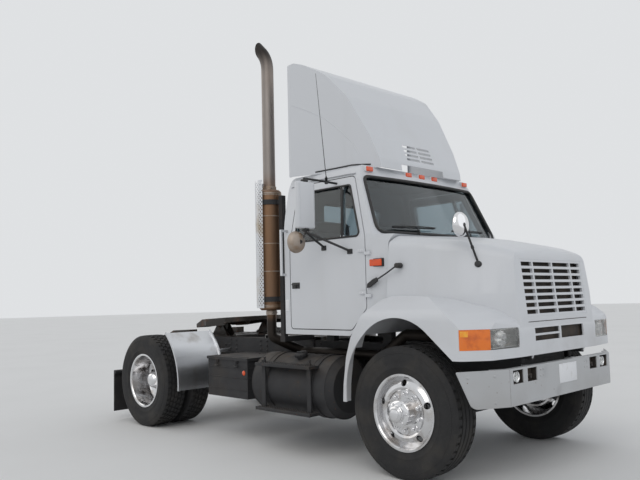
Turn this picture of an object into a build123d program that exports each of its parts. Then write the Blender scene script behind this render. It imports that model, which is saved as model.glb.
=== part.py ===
from build123d import *
import math
import os

# Day-cab road tractor with one driven rear axle, twin rear tyres, a fifth wheel,
# a tilting hood with its fenders, a roof fairing and one upright exhaust.
# Millimetres. X points forward from the front axle, Y to the truck's left, Z up from the road.
# Every piece is built from the front axle and moved to the middle of the truck when it is saved.

# Whole truck
WHEELBASE = 3744
FRONT_OVERHANG = 795
REAR_OVERHANG = 716
FIT = 0.3                 # clearance of a piece in its seat
PANEL_GAP = 8             # gap round a door and behind the hood
REAR_AXLE = -WHEELBASE
REAR_END = REAR_AXLE - REAR_OVERHANG
MIDDLE = (FRONT_OVERHANG + REAR_END) / 2

# Tyres and wheels
TYRE_RADIUS = 517
TYRE_WIDTH = 272
TREAD_WIDTH = 224
BEAD_RADIUS = 286
RIM_FLANGE = 300
RIM_WIDTH = 230
RIM_WALL = 10
FRONT_TRACK = 2000
DUAL_SPACING = 330
REAR_TRACK = 1840         # between the middles of the twin pairs
HAND_HOLES = 5
DRUM_RADIUS = 205
AXLE_HEIGHT = TYRE_RADIUS

# Frame
FRAME_TOP = 990
FRAME_DEPTH = 260
FRAME_HALF = 430          # outside of the rails
FRAME_FLANGE = 80
FRAME_WALL = 8
FRAME_FRONT = 640
FRAME_REAR = REAR_END + 110
FRAME_BOTTOM = FRAME_TOP - FRAME_DEPTH
WEB_INSIDE = FRAME_HALF - FRAME_WALL

# Front axle and steering
KINGPIN_INSET = 170       # kingpin inside the middle of the tyre
KINGPIN_Y = FRONT_TRACK / 2 - KINGPIN_INSET
BEAM_KNEE = 190           # from the kingpin in to where the beam has dropped
KINGPIN_RADIUS = 22
BOSS_RADIUS = 42
BOSS_HEIGHT = 120
STEER_ARM = 190
TIE_ROD_Z = 395
TIE_ROD_RADIUS = 20
BEAM_DEPTH = 90
BEAM_DROP = 75            # middle of the beam below its ends
SPRING_WIDTH = 76
SPRING_Y = 430
SPINDLE_RADIUS = 38
REAR_SPINDLE = 50

# Cab
CAB_REAR = -1540
CAB_FLOOR = 1090
CAB_HALF = 1000
CAB_WALL = 40
BELT = 1930
ROOF = 2650
GLASS = 6
GLASS_INSET = 14
DOOR_REAR = -1410
DOOR_FRONT = -445
DOOR_SILL = 1135
DOOR_TOP = 2512
VENT_BAR_X = -722         # middle of the bar at the sill
VENT_BAR = 26
VENT_LEAN = 90            # the bar's top behind its foot
HINGE_OUT = 9             # door hinge axis outside the skin
HINGE_RADIUS = 6.5
HINGE_LEAF = 56

# Hood and fenders
HOOD_WALL = 12
HOOD_LIP = 945
FENDER_HALF = 1180
NOSE = 775
HOOD_PIVOT_X = 735
HOOD_PIVOT_Z = 925
HOOD_PIVOT_Y = 440
GRILLE_HALF = 522
GRILLE_LOW = 1240
GRILLE_HIGH = 1692
GRILLE_ROWS = 8
GRILLE_BAR = 21
LAMP_LOW = 1020
LAMP_HIGH = 1170
LAMP_INNER = 655
LAMP_OUTER = 1200
LAMP_BACK = 580
LAMP_CORNER = 16

# Bumper
BUMPER_FACE = FRONT_OVERHANG
BUMPER_LOW = 603
BUMPER_HIGH = 874
BUMPER_FOLD = 856
BUMPER_HALF = 1235
BUMPER_WALL = 8
BUMPER_DEPTH = 48
BUMPER_SWEEP = 205
BUMPER_RETURN = 960       # top and bottom returns stop here
BUMPER_TAPER = 108        # lower corner inside the upper one

# Fifth wheel
PLATE_X = -3350
PLATE_TOP = 1205
PLATE_HALF = 470
PLATE_WALL = 14
PLATE_REST_TILT = 3
PIVOT_DROP = 85
RAMP_X = -330             # where the ramps start to fall, from the kingpin
RAMP_DROP = 56
RAIL_RAMP = -3950         # front of the low ramps on the rails behind the plate
RAIL_RAMP_HIGH = 68
KINGPIN_SLOT = 26
PIVOT_PIN = 25

# Exhaust
STACK_X = -1900
STACK_Y = -820
STACK_RADIUS = 63
MUFFLER_RADIUS = 120
MUFFLER_LOW = 1310
MUFFLER_HIGH = 2530
STACK_TOP = 4130
SHIELD_RADIUS = 150

# Tanks and boxes
TANK_RADIUS = 280
TANK_Y = 850
TANK_Z = 620
TANK_FRONT = -800
TANK_LENGTH = 1100
STRAP = 6
STRAP_WIDTH = 60


def block(x, y, z):
    """A box from three pairs of low and high values."""
    size = [high - low for low, high in (x, y, z)]
    middle = [(low + high) / 2 for low, high in (x, y, z)]
    return Pos(*middle) * Box(*size)


def flat(points, radii=0):
    """A flat face with rounded corners through a closed ring of 3-D points."""
    if isinstance(radii, (int, float)) and radii == 0:
        return make_face(Polyline(*points, close=True))
    return make_face(FilletPolyline(*points, radius=radii, close=True))


def shrunk(face, amount):
    """The face with every edge moved inwards."""
    if amount == 0:
        return face
    return offset(face, amount=-amount, kind=Kind.INTERSECTION)


def side_prism(points, low, high, radii=0, inset=0):
    """An outline of (x, z) points stretched along Y."""
    face = shrunk(flat([(x, 0, z) for x, z in points], radii), inset)
    return Pos(0, low, 0) * extrude(face, amount=high - low, dir=(0, 1, 0))


def plan_prism(points, low, high, radii=0, inset=0):
    """An outline of (x, y) points stretched along Z."""
    face = shrunk(flat([(x, y, 0) for x, y in points], radii), inset)
    return Pos(0, 0, low) * extrude(face, amount=high - low, dir=(0, 0, 1))


def front_prism(points, low, high, radii=0, inset=0):
    """An outline of (y, z) points stretched along X."""
    face = shrunk(flat([(0, y, z) for y, z in points], radii), inset)
    return Pos(low, 0, 0) * extrude(face, amount=high - low, dir=(1, 0, 0))


def both_ways(points):
    """Half an outline of (y, z) or (x, y) points, closed by its mirror image."""
    return points + [(-y, z) for y, z in reversed(points)]


def rod(start, end, radius):
    """A round bar between two points."""
    start = Vector(*start)
    end = Vector(*end)
    plane = Plane(origin=start, z_dir=end - start)
    bar = Cylinder(radius, (end - start).length, align=(Align.CENTER, Align.CENTER, Align.MIN))
    return plane * bar


def pipe(points, radius, bend):
    """A round pipe along straight runs with rounded corners."""
    path = FilletPolyline(*points, radius=bend)
    plane = Plane(origin=path @ 0, z_dir=path % 0)
    return sweep(plane * Circle(radius), path=path)


def turned(profile, x, z):
    """A ring turned about the axle line, from (radius, y) points."""
    face = make_face(Polyline(*[(radius, y, 0) for radius, y in profile], close=True))
    return Pos(x, 0, z) * revolve(face, axis=Axis.Y)


def other_side(part):
    return mirror(part, about=Plane.XZ)


def pair(part):
    return [part, other_side(part)]


def save(name, *pieces):
    solids = []
    for piece in pieces:
        items = piece if isinstance(piece, (list, tuple)) else [piece]
        for item in items:
            solids.extend(item.solids())
    whole = Compound(children=[Pos(-MIDDLE, 0, 0) * solid for solid in solids])
    export_step(whole, os.path.join("parts", name + ".step"))


# Frame

def frame_rails():
    channel = [
        (FRAME_HALF, FRAME_TOP),
        (FRAME_HALF - FRAME_FLANGE, FRAME_TOP),
        (FRAME_HALF - FRAME_FLANGE, FRAME_TOP - FRAME_WALL),
        (WEB_INSIDE, FRAME_TOP - FRAME_WALL),
        (WEB_INSIDE, FRAME_BOTTOM + FRAME_WALL),
        (FRAME_HALF - FRAME_FLANGE, FRAME_BOTTOM + FRAME_WALL),
        (FRAME_HALF - FRAME_FLANGE, FRAME_BOTTOM),
        (FRAME_HALF, FRAME_BOTTOM),
    ]
    save("frame_rails", pair(front_prism(channel, FRAME_REAR, FRAME_FRONT)))


CROSSMEMBER_LOW = FRAME_TOP - 190
CROSSMEMBER_HIGH = FRAME_TOP - 20
CROSSMEMBER_DEPTH = 80


def crossmembers():
    pieces = []
    for x in (-1650, -2500, -3050, FRAME_REAR + 45):
        wall = FRAME_WALL
        low = CROSSMEMBER_LOW
        high = CROSSMEMBER_HIGH
        half = CROSSMEMBER_DEPTH / 2
        outline = [
            (x - half, low), (x + half, low), (x + half, low + wall), (x - half + wall, low + wall),
            (x - half + wall, high - wall), (x + half, high - wall), (x + half, high), (x - half, high),
        ]
        pieces.append(side_prism(outline, -WEB_INSIDE, WEB_INSIDE))
    front = block((550, 630), (-WEB_INSIDE, WEB_INSIDE), (RADIATOR_LOW - 60, RADIATOR_LOW))
    save("crossmembers", pieces, front)


# Springs and axles

def leaf_spring(x, seat, eye, half, depth, top):
    """One leaf pack with its eyes and the hangers up to the rail."""
    reach = half * 0.98
    outline = Polyline((x - reach, 0, eye + 12), (x - reach, 0, eye - 12))
    lower = ThreePointArc((x - reach, 0, eye - 12), (x, 0, seat), (x + reach, 0, eye - 12))
    end = Line((x + reach, 0, eye - 12), (x + reach, 0, eye + 12))
    upper = ThreePointArc((x + reach, 0, eye + 12), (x, 0, seat + depth), (x - reach, 0, eye + 12))
    pack = extrude(make_face([outline, lower, end, upper]), amount=SPRING_WIDTH, dir=(0, 1, 0))
    pack = Pos(0, SPRING_Y - SPRING_WIDTH / 2, 0) * pack
    for side in (-1, 1):
        hanger_x = x + side * half
        low = SPRING_Y - SPRING_WIDTH / 2
        high = SPRING_Y + SPRING_WIDTH / 2
        pack += rod((hanger_x, low, eye), (hanger_x, high, eye), 30)
        pack += side_prism([(hanger_x - 34, eye), (hanger_x + 34, eye), (hanger_x + 48, top),
                            (hanger_x - 48, top)], low + 8, high - 40)
    return pack


def front_axle():
    ends = AXLE_HEIGHT
    middle = ends - BEAM_DROP
    half = BEAM_DEPTH / 2
    knee = KINGPIN_Y - BEAM_KNEE
    line = [(-KINGPIN_Y, ends), (-knee, middle), (knee, middle), (KINGPIN_Y, ends)]
    through = (0, 2 * ends)
    upper = [(y, z + half - 5) for y, z in line]
    lower = [(y, z - half + 5) for y, z in reversed(line)]
    beam = front_prism(upper + lower, -half, half)
    flange = 16
    upper = [(y, z + half - 5 - flange) for y, z in line]
    lower = [(y, z - half + 5 + flange) for y, z in reversed(line)]
    groove = front_prism(upper + lower, half - 34, half + 1)
    groove += front_prism(upper + lower, -half - 1, 34 - half)
    for side in (-1, 1):
        y = side * KINGPIN_Y
        groove -= block((-half, half), (y - BOSS_RADIUS, y + BOSS_RADIUS), through)
        y = side * SPRING_Y
        groove -= block((-half, half), (y - 50, y + 50), through)
    beam -= groove
    for side in (-1, 1):
        low = ends - BOSS_HEIGHT / 2
        place = Pos(0, side * KINGPIN_Y, low)
        align = (Align.CENTER, Align.CENTER, Align.MIN)
        beam -= place * Pos(0, 0, -200) * Cylinder(BOSS_RADIUS, 600, align=align)
        beam -= block((-60, 60), (side * (KINGPIN_Y + 50) - 50, side * (KINGPIN_Y + 50) + 50), through)
        beam += place * Cylinder(BOSS_RADIUS, BOSS_HEIGHT, align=align)
        beam -= place * Pos(0, 0, -200) * Cylinder(KINGPIN_RADIUS + FIT, 600, align=align)
    save("front_axle_beam", beam)
    seat = middle + half - 5
    spring = leaf_spring(0, seat, FRAME_BOTTOM - 55, 600, 60, FRAME_BOTTOM)
    save("front_springs", pair(spring))


FRONT_Y = FRONT_TRACK / 2
YOKE_IN = KINGPIN_Y + BOSS_RADIUS + PANEL_GAP
YOKE_OUT = YOKE_IN + 22
YOKE_HALF = 48


def knuckles():
    low = AXLE_HEIGHT - BOSS_HEIGHT / 2 - 5
    high = AXLE_HEIGHT + BOSS_HEIGHT / 2 + 5
    ear = 40
    y_in = KINGPIN_Y - BOSS_RADIUS
    knuckle = block((-YOKE_HALF, YOKE_HALF), (YOKE_IN, YOKE_OUT), (low - ear, high + ear))
    for z in ((low - ear, low), (high, high + ear)):
        knuckle += block((-YOKE_HALF + 6, YOKE_HALF - 6), (KINGPIN_Y, YOKE_OUT), z)
        knuckle += Pos(0, KINGPIN_Y, (z[0] + z[1]) / 2) * Cylinder(BOSS_RADIUS, ear)
    knuckle += rod((0, KINGPIN_Y, low - ear), (0, KINGPIN_Y, high + ear), KINGPIN_RADIUS)
    knuckle += rod((0, YOKE_IN, AXLE_HEIGHT), (0, FRONT_Y + 105, AXLE_HEIGHT), SPINDLE_RADIUS)
    arm_z = TIE_ROD_Z
    knuckle += block((-STEER_ARM, 0), (KINGPIN_Y - 16, KINGPIN_Y + 16), (arm_z + 24, arm_z + 50))
    knuckle += Pos(-STEER_ARM, KINGPIN_Y, arm_z + 37) * Cylinder(24, 26)
    for name, piece in (("knuckle_left", knuckle), ("knuckle_right", other_side(knuckle))):
        save(name, piece)
    bar = rod((-STEER_ARM, -KINGPIN_Y, arm_z), (-STEER_ARM, KINGPIN_Y, arm_z), TIE_ROD_RADIUS)
    for side in (-1, 1):
        bar += Pos(-STEER_ARM, side * KINGPIN_Y, arm_z) * Cylinder(23, 24 * 2 - 2 * FIT)
    save("tie_rod", bar)


def tyre(y):
    half = TYRE_WIDTH / 2
    tread = TREAD_WIDTH / 2
    outline = [
        (BEAD_RADIUS, -RIM_WIDTH / 2 + 8), (BEAD_RADIUS + 16, -RIM_WIDTH / 2 + 2), (BEAD_RADIUS + 60, -half + 10),
        (BEAD_RADIUS + 115, -half), (TYRE_RADIUS - 60, -half + 4), (TYRE_RADIUS - 16, -tread - 10),
        (TYRE_RADIUS - 3, -tread), (TYRE_RADIUS, -tread + 24),
    ]
    outline += [(radius, -offset_y) for radius, offset_y in reversed(outline)]
    return Pos(0, y, 0) * turned(outline, 0, AXLE_HEIGHT)


def rim(disc):
    """Rim section with its two flanges, joined to the disc's (radius, y) outline."""
    edge = RIM_WIDTH / 2
    barrel = BEAD_RADIUS - FIT
    ring = [
        (barrel, -edge + 8), (barrel + 14, -edge + 2), (RIM_FLANGE, -edge + 2), (RIM_FLANGE, -edge - 6),
        (barrel - 2, -edge - 6), (barrel - RIM_WALL, -edge + 4), (barrel - RIM_WALL, edge - 4),
        (barrel - 2, edge + 6), (RIM_FLANGE, edge + 6), (RIM_FLANGE, edge - 2), (barrel + 14, edge - 2),
        (barrel, edge - 8),
    ]
    return turned(ring, 0, AXLE_HEIGHT) + turned(disc, 0, AXLE_HEIGHT)


def hand_holes(radius, y, size):
    holes = []
    for number in range(HAND_HOLES):
        angle = math.radians(90 + 360 / HAND_HOLES * number)
        x = radius * math.cos(angle)
        z = AXLE_HEIGHT + radius * math.sin(angle)
        holes.append(rod((x, y - 60, z), (x, y + 60, z), size))
    return holes


def front_wheel():
    """Left front wheel about Y = 0, with its hub, drum and cap."""
    barrel = BEAD_RADIUS - FIT - RIM_WALL / 2
    disc = [
        (barrel, 52), (barrel, 66), (255, 78), (225, 96), (195, 104), (178, 96), (172, 84), (80, 84), (80, 66),
        (180, 66), (200, 86), (222, 78), (250, 58),
    ]
    wheel = rim(disc)
    for hole in hand_holes(228, 80, 26):
        wheel -= hole
    hub = [
        (SPINDLE_RADIUS + FIT, -60), (SPINDLE_RADIUS + FIT, 118), (0, 118), (0, 226), (48, 226), (62, 218),
        (64, 176), (86, 172), (94, 160), (96, 80), (120, 66), (120, -20), (72, -60),
    ]
    drum = [
        (DRUM_RADIUS, -84), (DRUM_RADIUS, 60), (150, 66), (110, 66), (110, 50), (165, 46), (DRUM_RADIUS - 18, 34),
        (DRUM_RADIUS - 18, -84),
    ]
    wheel += turned(hub, 0, AXLE_HEIGHT)
    wheel += turned(drum, 0, AXLE_HEIGHT)
    return Pos(0, FRONT_Y, 0) * wheel


REAR_Y = REAR_TRACK / 2


def rear_wheels():
    """Left rear twins about Y = 0: both rims bolted to one hub, with the drum inside."""
    barrel = BEAD_RADIUS - FIT - RIM_WALL / 2
    shift = DUAL_SPACING / 2
    dish = [
        (barrel, 40), (barrel, 58), (258, 50), (215, 24), (180, 14), (105, 14), (105, 0), (185, 0), (222, 10),
        (262, 34),
    ]
    outer = Pos(0, shift, 0) * rim([(radius, y - shift + 1) for radius, y in dish])
    inner = Pos(0, -shift, 0) * rim([(radius, shift - y - 1) for radius, y in dish])
    for hole in hand_holes(225, 10, 24):
        outer -= hole
        inner -= hole
    hub = [
        (REAR_SPINDLE + FIT, -170), (REAR_SPINDLE + FIT, 120), (0, 120), (0, 192), (58, 192), (72, 182), (74, 120),
        (112, 104), (114, 20), (130, 10), (130, -16), (110, -40), (82, -170),
    ]
    drum = [
        (DRUM_RADIUS, -300), (DRUM_RADIUS, -60), (160, -14), (120, -14), (120, -30), (165, -40),
        (DRUM_RADIUS - 18, -70), (DRUM_RADIUS - 18, -300),
    ]
    wheel = outer + inner + turned(hub, 0, AXLE_HEIGHT) + turned(drum, 0, AXLE_HEIGHT)
    return Pos(REAR_AXLE, REAR_Y, 0) * wheel


def wheels():
    left = front_wheel()
    rubber = tyre(FRONT_Y)
    save("front_wheel_left", left)
    save("front_wheel_right", other_side(left))
    save("front_tyre_left", rubber)
    save("front_tyre_right", other_side(rubber))
    left = rear_wheels()
    twins = [Pos(REAR_AXLE, 0, 0) * tyre(REAR_Y + side * DUAL_SPACING / 2) for side in (-1, 1)]
    save("rear_wheels_left", left)
    save("rear_wheels_right", other_side(left))
    save("rear_tyres_left", twins)
    save("rear_tyres_right", [other_side(piece) for piece in twins])


def rear_axle():
    tube = rod((REAR_AXLE, -680, AXLE_HEIGHT), (REAR_AXLE, 680, AXLE_HEIGHT), 70)
    tip = REAR_Y + 112
    tube += rod((REAR_AXLE, -tip, AXLE_HEIGHT), (REAR_AXLE, tip, AXLE_HEIGHT), REAR_SPINDLE)
    bowl = Pos(REAR_AXLE, 0, AXLE_HEIGHT) * Rot(90, 0, 0) * Cylinder(210, 150)
    nose = rod((REAR_AXLE, 0, AXLE_HEIGHT), (REAR_AXLE + 330, 0, AXLE_HEIGHT + 22), 95)
    save("rear_axle", tube + bowl + nose)
    spring = leaf_spring(REAR_AXLE, AXLE_HEIGHT + 70, FRAME_BOTTOM - 55, 560, 70, FRAME_BOTTOM)
    save("rear_springs", pair(spring))


# Engine and driveline

ENGINE_FRONT = 480
ENGINE_REAR = -205
ENGINE_HALF = 300
ENGINE_LOW = 620
ENGINE_HIGH = 1560
RADIATOR_LOW = 800
RADIATOR_HIGH = 1640
GEARBOX_REAR = -1080
SHAFT_RADIUS = 50


def driveline():
    body = block((ENGINE_REAR, ENGINE_FRONT), (-ENGINE_HALF, ENGINE_HALF), (ENGINE_LOW, ENGINE_HIGH))
    for x in (ENGINE_REAR + 60, ENGINE_FRONT - 140):
        body += block((x, x + 80), (-WEB_INSIDE, WEB_INSIDE), (FRAME_TOP - 130, FRAME_TOP - 50))
    save("engine_block", body)
    bell = rod((ENGINE_REAR, 0, 800), (ENGINE_REAR - 170, 0, 800), 240)
    box = block((GEARBOX_REAR, ENGINE_REAR - 170), (-190, 190), (620, 960))
    neck = rod((GEARBOX_REAR, 0, 760), (GEARBOX_REAR - 70, 0, 760), 70)
    save("transmission", bell + box + neck)
    start = (GEARBOX_REAR - 75.2, 0, 760)
    end = (REAR_AXLE + 332, 0, AXLE_HEIGHT + 24)
    save("drive_shaft", rod(start, end, SHAFT_RADIUS))
    half = FRAME_HALF - FRAME_FLANGE - 5
    core = block((560, 625), (-half, half), (RADIATOR_LOW, RADIATOR_HIGH))
    core += block((530, 560), (-310, 310), (RADIATOR_LOW + 120, RADIATOR_HIGH - 60))
    save("radiator", core)


# Bumper

def bumper():
    slope = BUMPER_SWEEP / (BUMPER_HALF - BUMPER_FOLD)
    reach = BUMPER_HALF - BUMPER_FOLD + 40

    def strip(face, depth):
        tip = face - slope * reach
        half = BUMPER_FOLD + reach
        return [
            (face, BUMPER_FOLD), (tip, half), (tip - depth, half), (face - depth, BUMPER_FOLD - 20),
            (face - depth, 20 - BUMPER_FOLD), (tip - depth, -half), (tip, -half), (face, -BUMPER_FOLD),
        ]

    low = BUMPER_LOW + BUMPER_WALL
    high = BUMPER_HIGH - BUMPER_WALL
    through = (BUMPER_LOW - 5, BUMPER_HIGH + 5)
    beam = plan_prism(strip(BUMPER_FACE, BUMPER_DEPTH), BUMPER_LOW, BUMPER_HIGH)
    hollow = plan_prism(strip(BUMPER_FACE - BUMPER_WALL, BUMPER_DEPTH), *through)
    beam -= hollow & block((0, 900), (-1500, 1500), (low, high))
    for side in (-1, 1):
        y = sorted((side * BUMPER_RETURN, side * 1500))
        beam -= hollow & block((0, 900), y, through)
    ends = both_ways([(BUMPER_HALF - BUMPER_TAPER, BUMPER_LOW), (BUMPER_HALF, BUMPER_HIGH)])
    beam &= front_prism(ends, 200, 900, [60, 8, 8, 60])
    for inner, outer in ((458, 601), (663, 811)):
        for side in (-1, 1):
            y = sorted((side * inner, side * outer))
            beam -= block((BUMPER_FACE - 30, BUMPER_FACE + 5), y, (760, 860))
    for side in (-1, 1):
        y = sorted((side * (FRAME_HALF - 70), side * WEB_INSIDE))
        arm = block((FRAME_FRONT - 80, BUMPER_FACE - BUMPER_WALL), y, (802, 862))
        beam += arm
    save("front_bumper", beam)


# Hood with its fenders

def hood_upper(inset):
    """Hood above the fenders, lofted between sections from the cowl to the nose."""
    sections = []
    # x, half width at the fender, half width and height of the shoulder, its radius, crown
    table = (
        (-300, 1003, 985, 1940, 120, 1972),
        (100, 930, 875, 1894, 120, 1926),
        (350, 868, 785, 1852, 120, 1886),
        (520, 802, 715, 1812, 110, 1846),
        (660, 716, 640, 1768, 95, 1800),
        (800, 590, 548, 1702, 75, 1726),
    )
    for x, side, shoulder, height, radius, crown in table:
        half = [
            (side - inset, HOOD_LIP), (side - inset, 1420), (shoulder - inset, height - inset),
            (0, crown - inset),
        ]
        ring = [(x, y, z) for y, z in half] + [(x, -y, z) for y, z in reversed(half[:3])]
        radii = [0, 0, radius - inset, 0, radius - inset, 0, 0]
        sections.append(flat(ring, radii))
    body = loft(sections, ruled=True)
    front = [
        (-235, 900), (-235, 1400), (-215, 1875), (-160, 1960), (-160, 2200), (460, 2200), (540, 1875),
        (716, 1765), (766, 1250), (NOSE, HOOD_LIP), (NOSE, 900),
    ]
    radii = [0, 0, 0, 0, 0, 0, 0, 110, 0, 0, 0]
    return body & side_prism(front, -1100, 1100, radii, inset)


def fender_form(inset):
    """Nose and both fenders as one body, from its side, plan and front outlines."""
    side = [
        (NOSE + 10, HOOD_LIP), (NOSE - 6, 1205), (640, 1305), (360, 1388), (60, 1432), (-150, 1425),
        (-240, 1398), (-370, 1262), (-480, 1090), (-535, 930), (-572, 700), (-580, 560), (400, 560),
        (500, HOOD_LIP),
    ]
    radii = [0, 160, 260, 300, 150, 80, 60, 60, 100, 200, 200, 0, 0, 0]
    plan = [
        (-700, -FENDER_HALF), (590, -FENDER_HALF), (738, -1000), (NOSE, -640), (NOSE, 640), (738, 1000),
        (590, FENDER_HALF), (-700, FENDER_HALF),
    ]
    plan_radii = [0, 90, 110, 60, 60, 110, 90, 0]
    front = both_ways([(FENDER_HALF, 400), (FENDER_HALF, 1285), (985, 1450)])
    front_radii = [0, 130, 40, 40, 130, 0]
    body = side_prism(side, -1300, 1300, radii, inset)
    body &= plan_prism(plan, 300, 1700, plan_radii, inset)
    body &= front_prism(front, -800, 900, front_radii, inset)
    # the swept corner rolls over its own top edge, square to the corner
    turn = math.atan2(738 - 590, FENDER_HALF - 1000)
    corner = 738 * math.cos(turn) + 1000 * math.sin(turn)
    roll = [
        (corner + 5, 300), (corner, 1195), (corner - 130, 1300), (corner - 400, 1420), (-2000, 1470),
        (-2000, 300),
    ]
    over = side_prism(roll, -3000, 3000, [0, 160, 260, 0, 0, 0], inset)
    for angle in (turn, -turn):
        body &= Rot(0, 0, math.degrees(angle)) * over
    return body


def wheel_arch():
    """Outline of the wheel opening, stretched across the truck."""
    edge = [
        Line((-545, 0, 400), (-540, 0, 690)),
        ThreePointArc((-540, 0, 690), (-470, 0, 950), (-344, 0, 1113)),
        ThreePointArc((-344, 0, 1113), (-5, 0, 1255), (311, 0, 1128)),
        Polyline((311, 0, 1128), (525, 0, HOOD_LIP - 1), (525, 0, 400), (-545, 0, 400)),
    ]
    return Pos(0, -1400, 0) * extrude(make_face(edge), amount=2800, dir=(0, 1, 0))


def hood():
    inner = hood_upper(HOOD_WALL) + fender_form(HOOD_WALL)
    shell = hood_upper(0) + fender_form(0)
    shell -= inner
    shell -= Pos(0, 0, -40) * inner
    shell -= Pos(-40, 0, 0) * hood_upper(HOOD_WALL)
    shell -= wheel_arch()
    shell -= block((-700, -150), (-1020, 1020), (950, 1397))
    shell -= block((-700, 0), (-1100, 1100), (300, 1000))
    shell -= block((600, 900), (-GRILLE_HALF, GRILLE_HALF), (GRILLE_LOW, GRILLE_HIGH))
    for side in (-1, 1):
        shell -= lamp_prism(side, 0)
    # lower intake: two rows on the right, the left bar broken off
    for y, z in (((-416, -14), (1052, 1092)), ((-416, -14), (1108, 1151)), ((14, 416), (1052, 1151))):
        shell -= block((700, 900), y, z)
    for side in (-1, 1):
        low = HOOD_PIVOT_Y - 10
        high = HOOD_PIVOT_Y + 10
        lug = side_prism([(HOOD_PIVOT_X - 18, HOOD_PIVOT_Z - 14), (HOOD_PIVOT_X + 14, HOOD_PIVOT_Z - 14),
                          (NOSE - HOOD_WALL + 4, HOOD_LIP + 10), (NOSE - HOOD_WALL + 4, HOOD_LIP + 90),
                          (HOOD_PIVOT_X - 18, HOOD_PIVOT_Z + 30)], low, high)
        lug -= rod((HOOD_PIVOT_X, low - 5, HOOD_PIVOT_Z), (HOOD_PIVOT_X, high + 5, HOOD_PIVOT_Z), 8 + FIT)
        if side < 0:
            lug = other_side(lug)
        shell += lug
    save("hood_shell", shell)
    brackets = []
    for side in (-1, 1):
        y_in = HOOD_PIVOT_Y - 10 - PANEL_GAP - 16
        arm = block((FRAME_FRONT, HOOD_PIVOT_X + 14), (y_in, y_in + 16), (HOOD_PIVOT_Z - 14, HOOD_PIVOT_Z + 14))
        arm += block((FRAME_FRONT, FRAME_FRONT + 10), (FRAME_HALF - 60, FRAME_HALF), (FRAME_TOP - 120, FRAME_TOP))
        arm += rod((HOOD_PIVOT_X, y_in, HOOD_PIVOT_Z), (HOOD_PIVOT_X, HOOD_PIVOT_Y + 16, HOOD_PIVOT_Z), 8)
        brackets.append(arm if side > 0 else other_side(arm))
    save("hood_brackets", brackets)


def lamp_prism(side, inset):
    """Opening of one headlamp, stretched along X."""
    outline = [(side * LAMP_INNER, LAMP_LOW), (side * LAMP_OUTER, LAMP_LOW), (side * LAMP_OUTER, LAMP_HIGH),
               (side * LAMP_INNER, LAMP_HIGH)]
    return front_prism(outline, LAMP_BACK + inset, 900, LAMP_CORNER, inset)


def grille():
    bars = hood_upper(2) - hood_upper(24)
    width = (FIT - GRILLE_HALF, GRILLE_HALF - FIT)
    bars &= block((600, 900), width, (GRILLE_LOW + FIT, GRILLE_HIGH - FIT))
    pitch = (GRILLE_HIGH - GRILLE_LOW - GRILLE_BAR) / GRILLE_ROWS
    half = GRILLE_BAR / 2
    outer = GRILLE_HALF - GRILLE_BAR
    columns = ((-outer, -322 - half), (half - 322, -half), (half, 322 - half), (322 + half, outer))
    for row in range(GRILLE_ROWS):
        low = GRILLE_LOW + GRILLE_BAR + row * pitch
        for column in columns:
            bars -= block((600, 900), column, (low, low + pitch - GRILLE_BAR))
    save("grille", bars)


def headlamps():
    lens = fender_form(3) - fender_form(34)
    lens &= lamp_prism(1, FIT)
    save("headlamps", pair(lens))


def hood_fittings():
    base = Vector(500, -735, 1650)
    head = Vector(466, -872, 1966)
    arm = rod(tuple(base), tuple(head), 9)
    arm += rod((470, head.Y, head.Z), (420, head.Y, head.Z), 100)
    foot = rod((500, -700, 1640), (500, -745, 1655), 26)
    stem = (arm + foot) - hood_upper(-FIT)
    save("hood_mirror", stem)
    strap_in = CAB_HALF + 6
    strap_out = strap_in + 20
    strap = side_prism([(-90, 1688), (-100, 1655), (-400, 1510), (-425, 1530)], strap_in, strap_out)
    foot = block((-170, -90), (900, strap_out), (1640, 1680)) - hood_upper(-FIT)
    save("hood_latches", pair(strap + foot))


# Cab

SCREEN_FOOT = (-300, 1949)
SCREEN_HEAD = (-556, 2525)
SCREEN_HALF = 942
SCREEN_SWEEP = 60         # ends of the windscreen behind its middle


def screen_sweep(inset):
    """Everything behind the curved windscreen, and all that is below its foot."""
    x, z = SCREEN_FOOT
    lean = (SCREEN_HEAD[0] - x) / (SCREEN_HEAD[1] - z)
    slant = math.hypot(1, lean)
    start = z - 100
    front = x - lean * (z - start) - inset * slant
    half = 1100
    back = front - SCREEN_SWEEP * (half / SCREEN_HALF) ** 2
    edge = [
        ThreePointArc((back, -half, start), (front, 0, start), (back, half, start)),
        Polyline((back, half, start), (-2500, half, start), (-2500, -half, start), (back, -half, start)),
    ]
    behind = extrude(make_face(edge), amount=900 * slant, dir=Vector(lean, 0, 1).normalized())
    return behind + block((-2500, 0), (-half, half), (900, z - inset))


def cab_form(inset):
    """Cab body without its openings, from its side, front and plan outlines."""
    side = [
        (CAB_REAR, CAB_FLOOR), (-650, CAB_FLOOR), (-430, 1300), (-245, 1420), (-227, 1880), (-184, 1945),
        (SCREEN_FOOT[0] + 14, SCREEN_FOOT[1]), (SCREEN_HEAD[0] + 8, SCREEN_HEAD[1] + 7), (-650, 2620),
        (-1480, ROOF), (CAB_REAR, 2575),
    ]
    radii = [0, 0, 40, 0, 0, 0, 0, 40, 60, 60, 60]
    front = both_ways([(CAB_HALF, CAB_FLOOR - 20), (CAB_HALF, BELT), (872, 2500), (820, 2610), (380, ROOF)])
    front_radii = [0, 200, 80, 60, 300, 300, 60, 80, 200, 0]
    plan = [
        (CAB_REAR, -CAB_HALF), (-440, -CAB_HALF), (-180, -945), (-180, 945), (-440, CAB_HALF),
        (CAB_REAR, CAB_HALF),
    ]
    plan_radii = [90, 150, 60, 60, 150, 90]
    body = side_prism(side, -1100, 1100, radii, inset)
    body &= front_prism(front, CAB_REAR - 50, 0, front_radii, inset)
    body &= plan_prism(plan, 1000, 2700, plan_radii, inset)
    body &= screen_sweep(inset)
    return body


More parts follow.
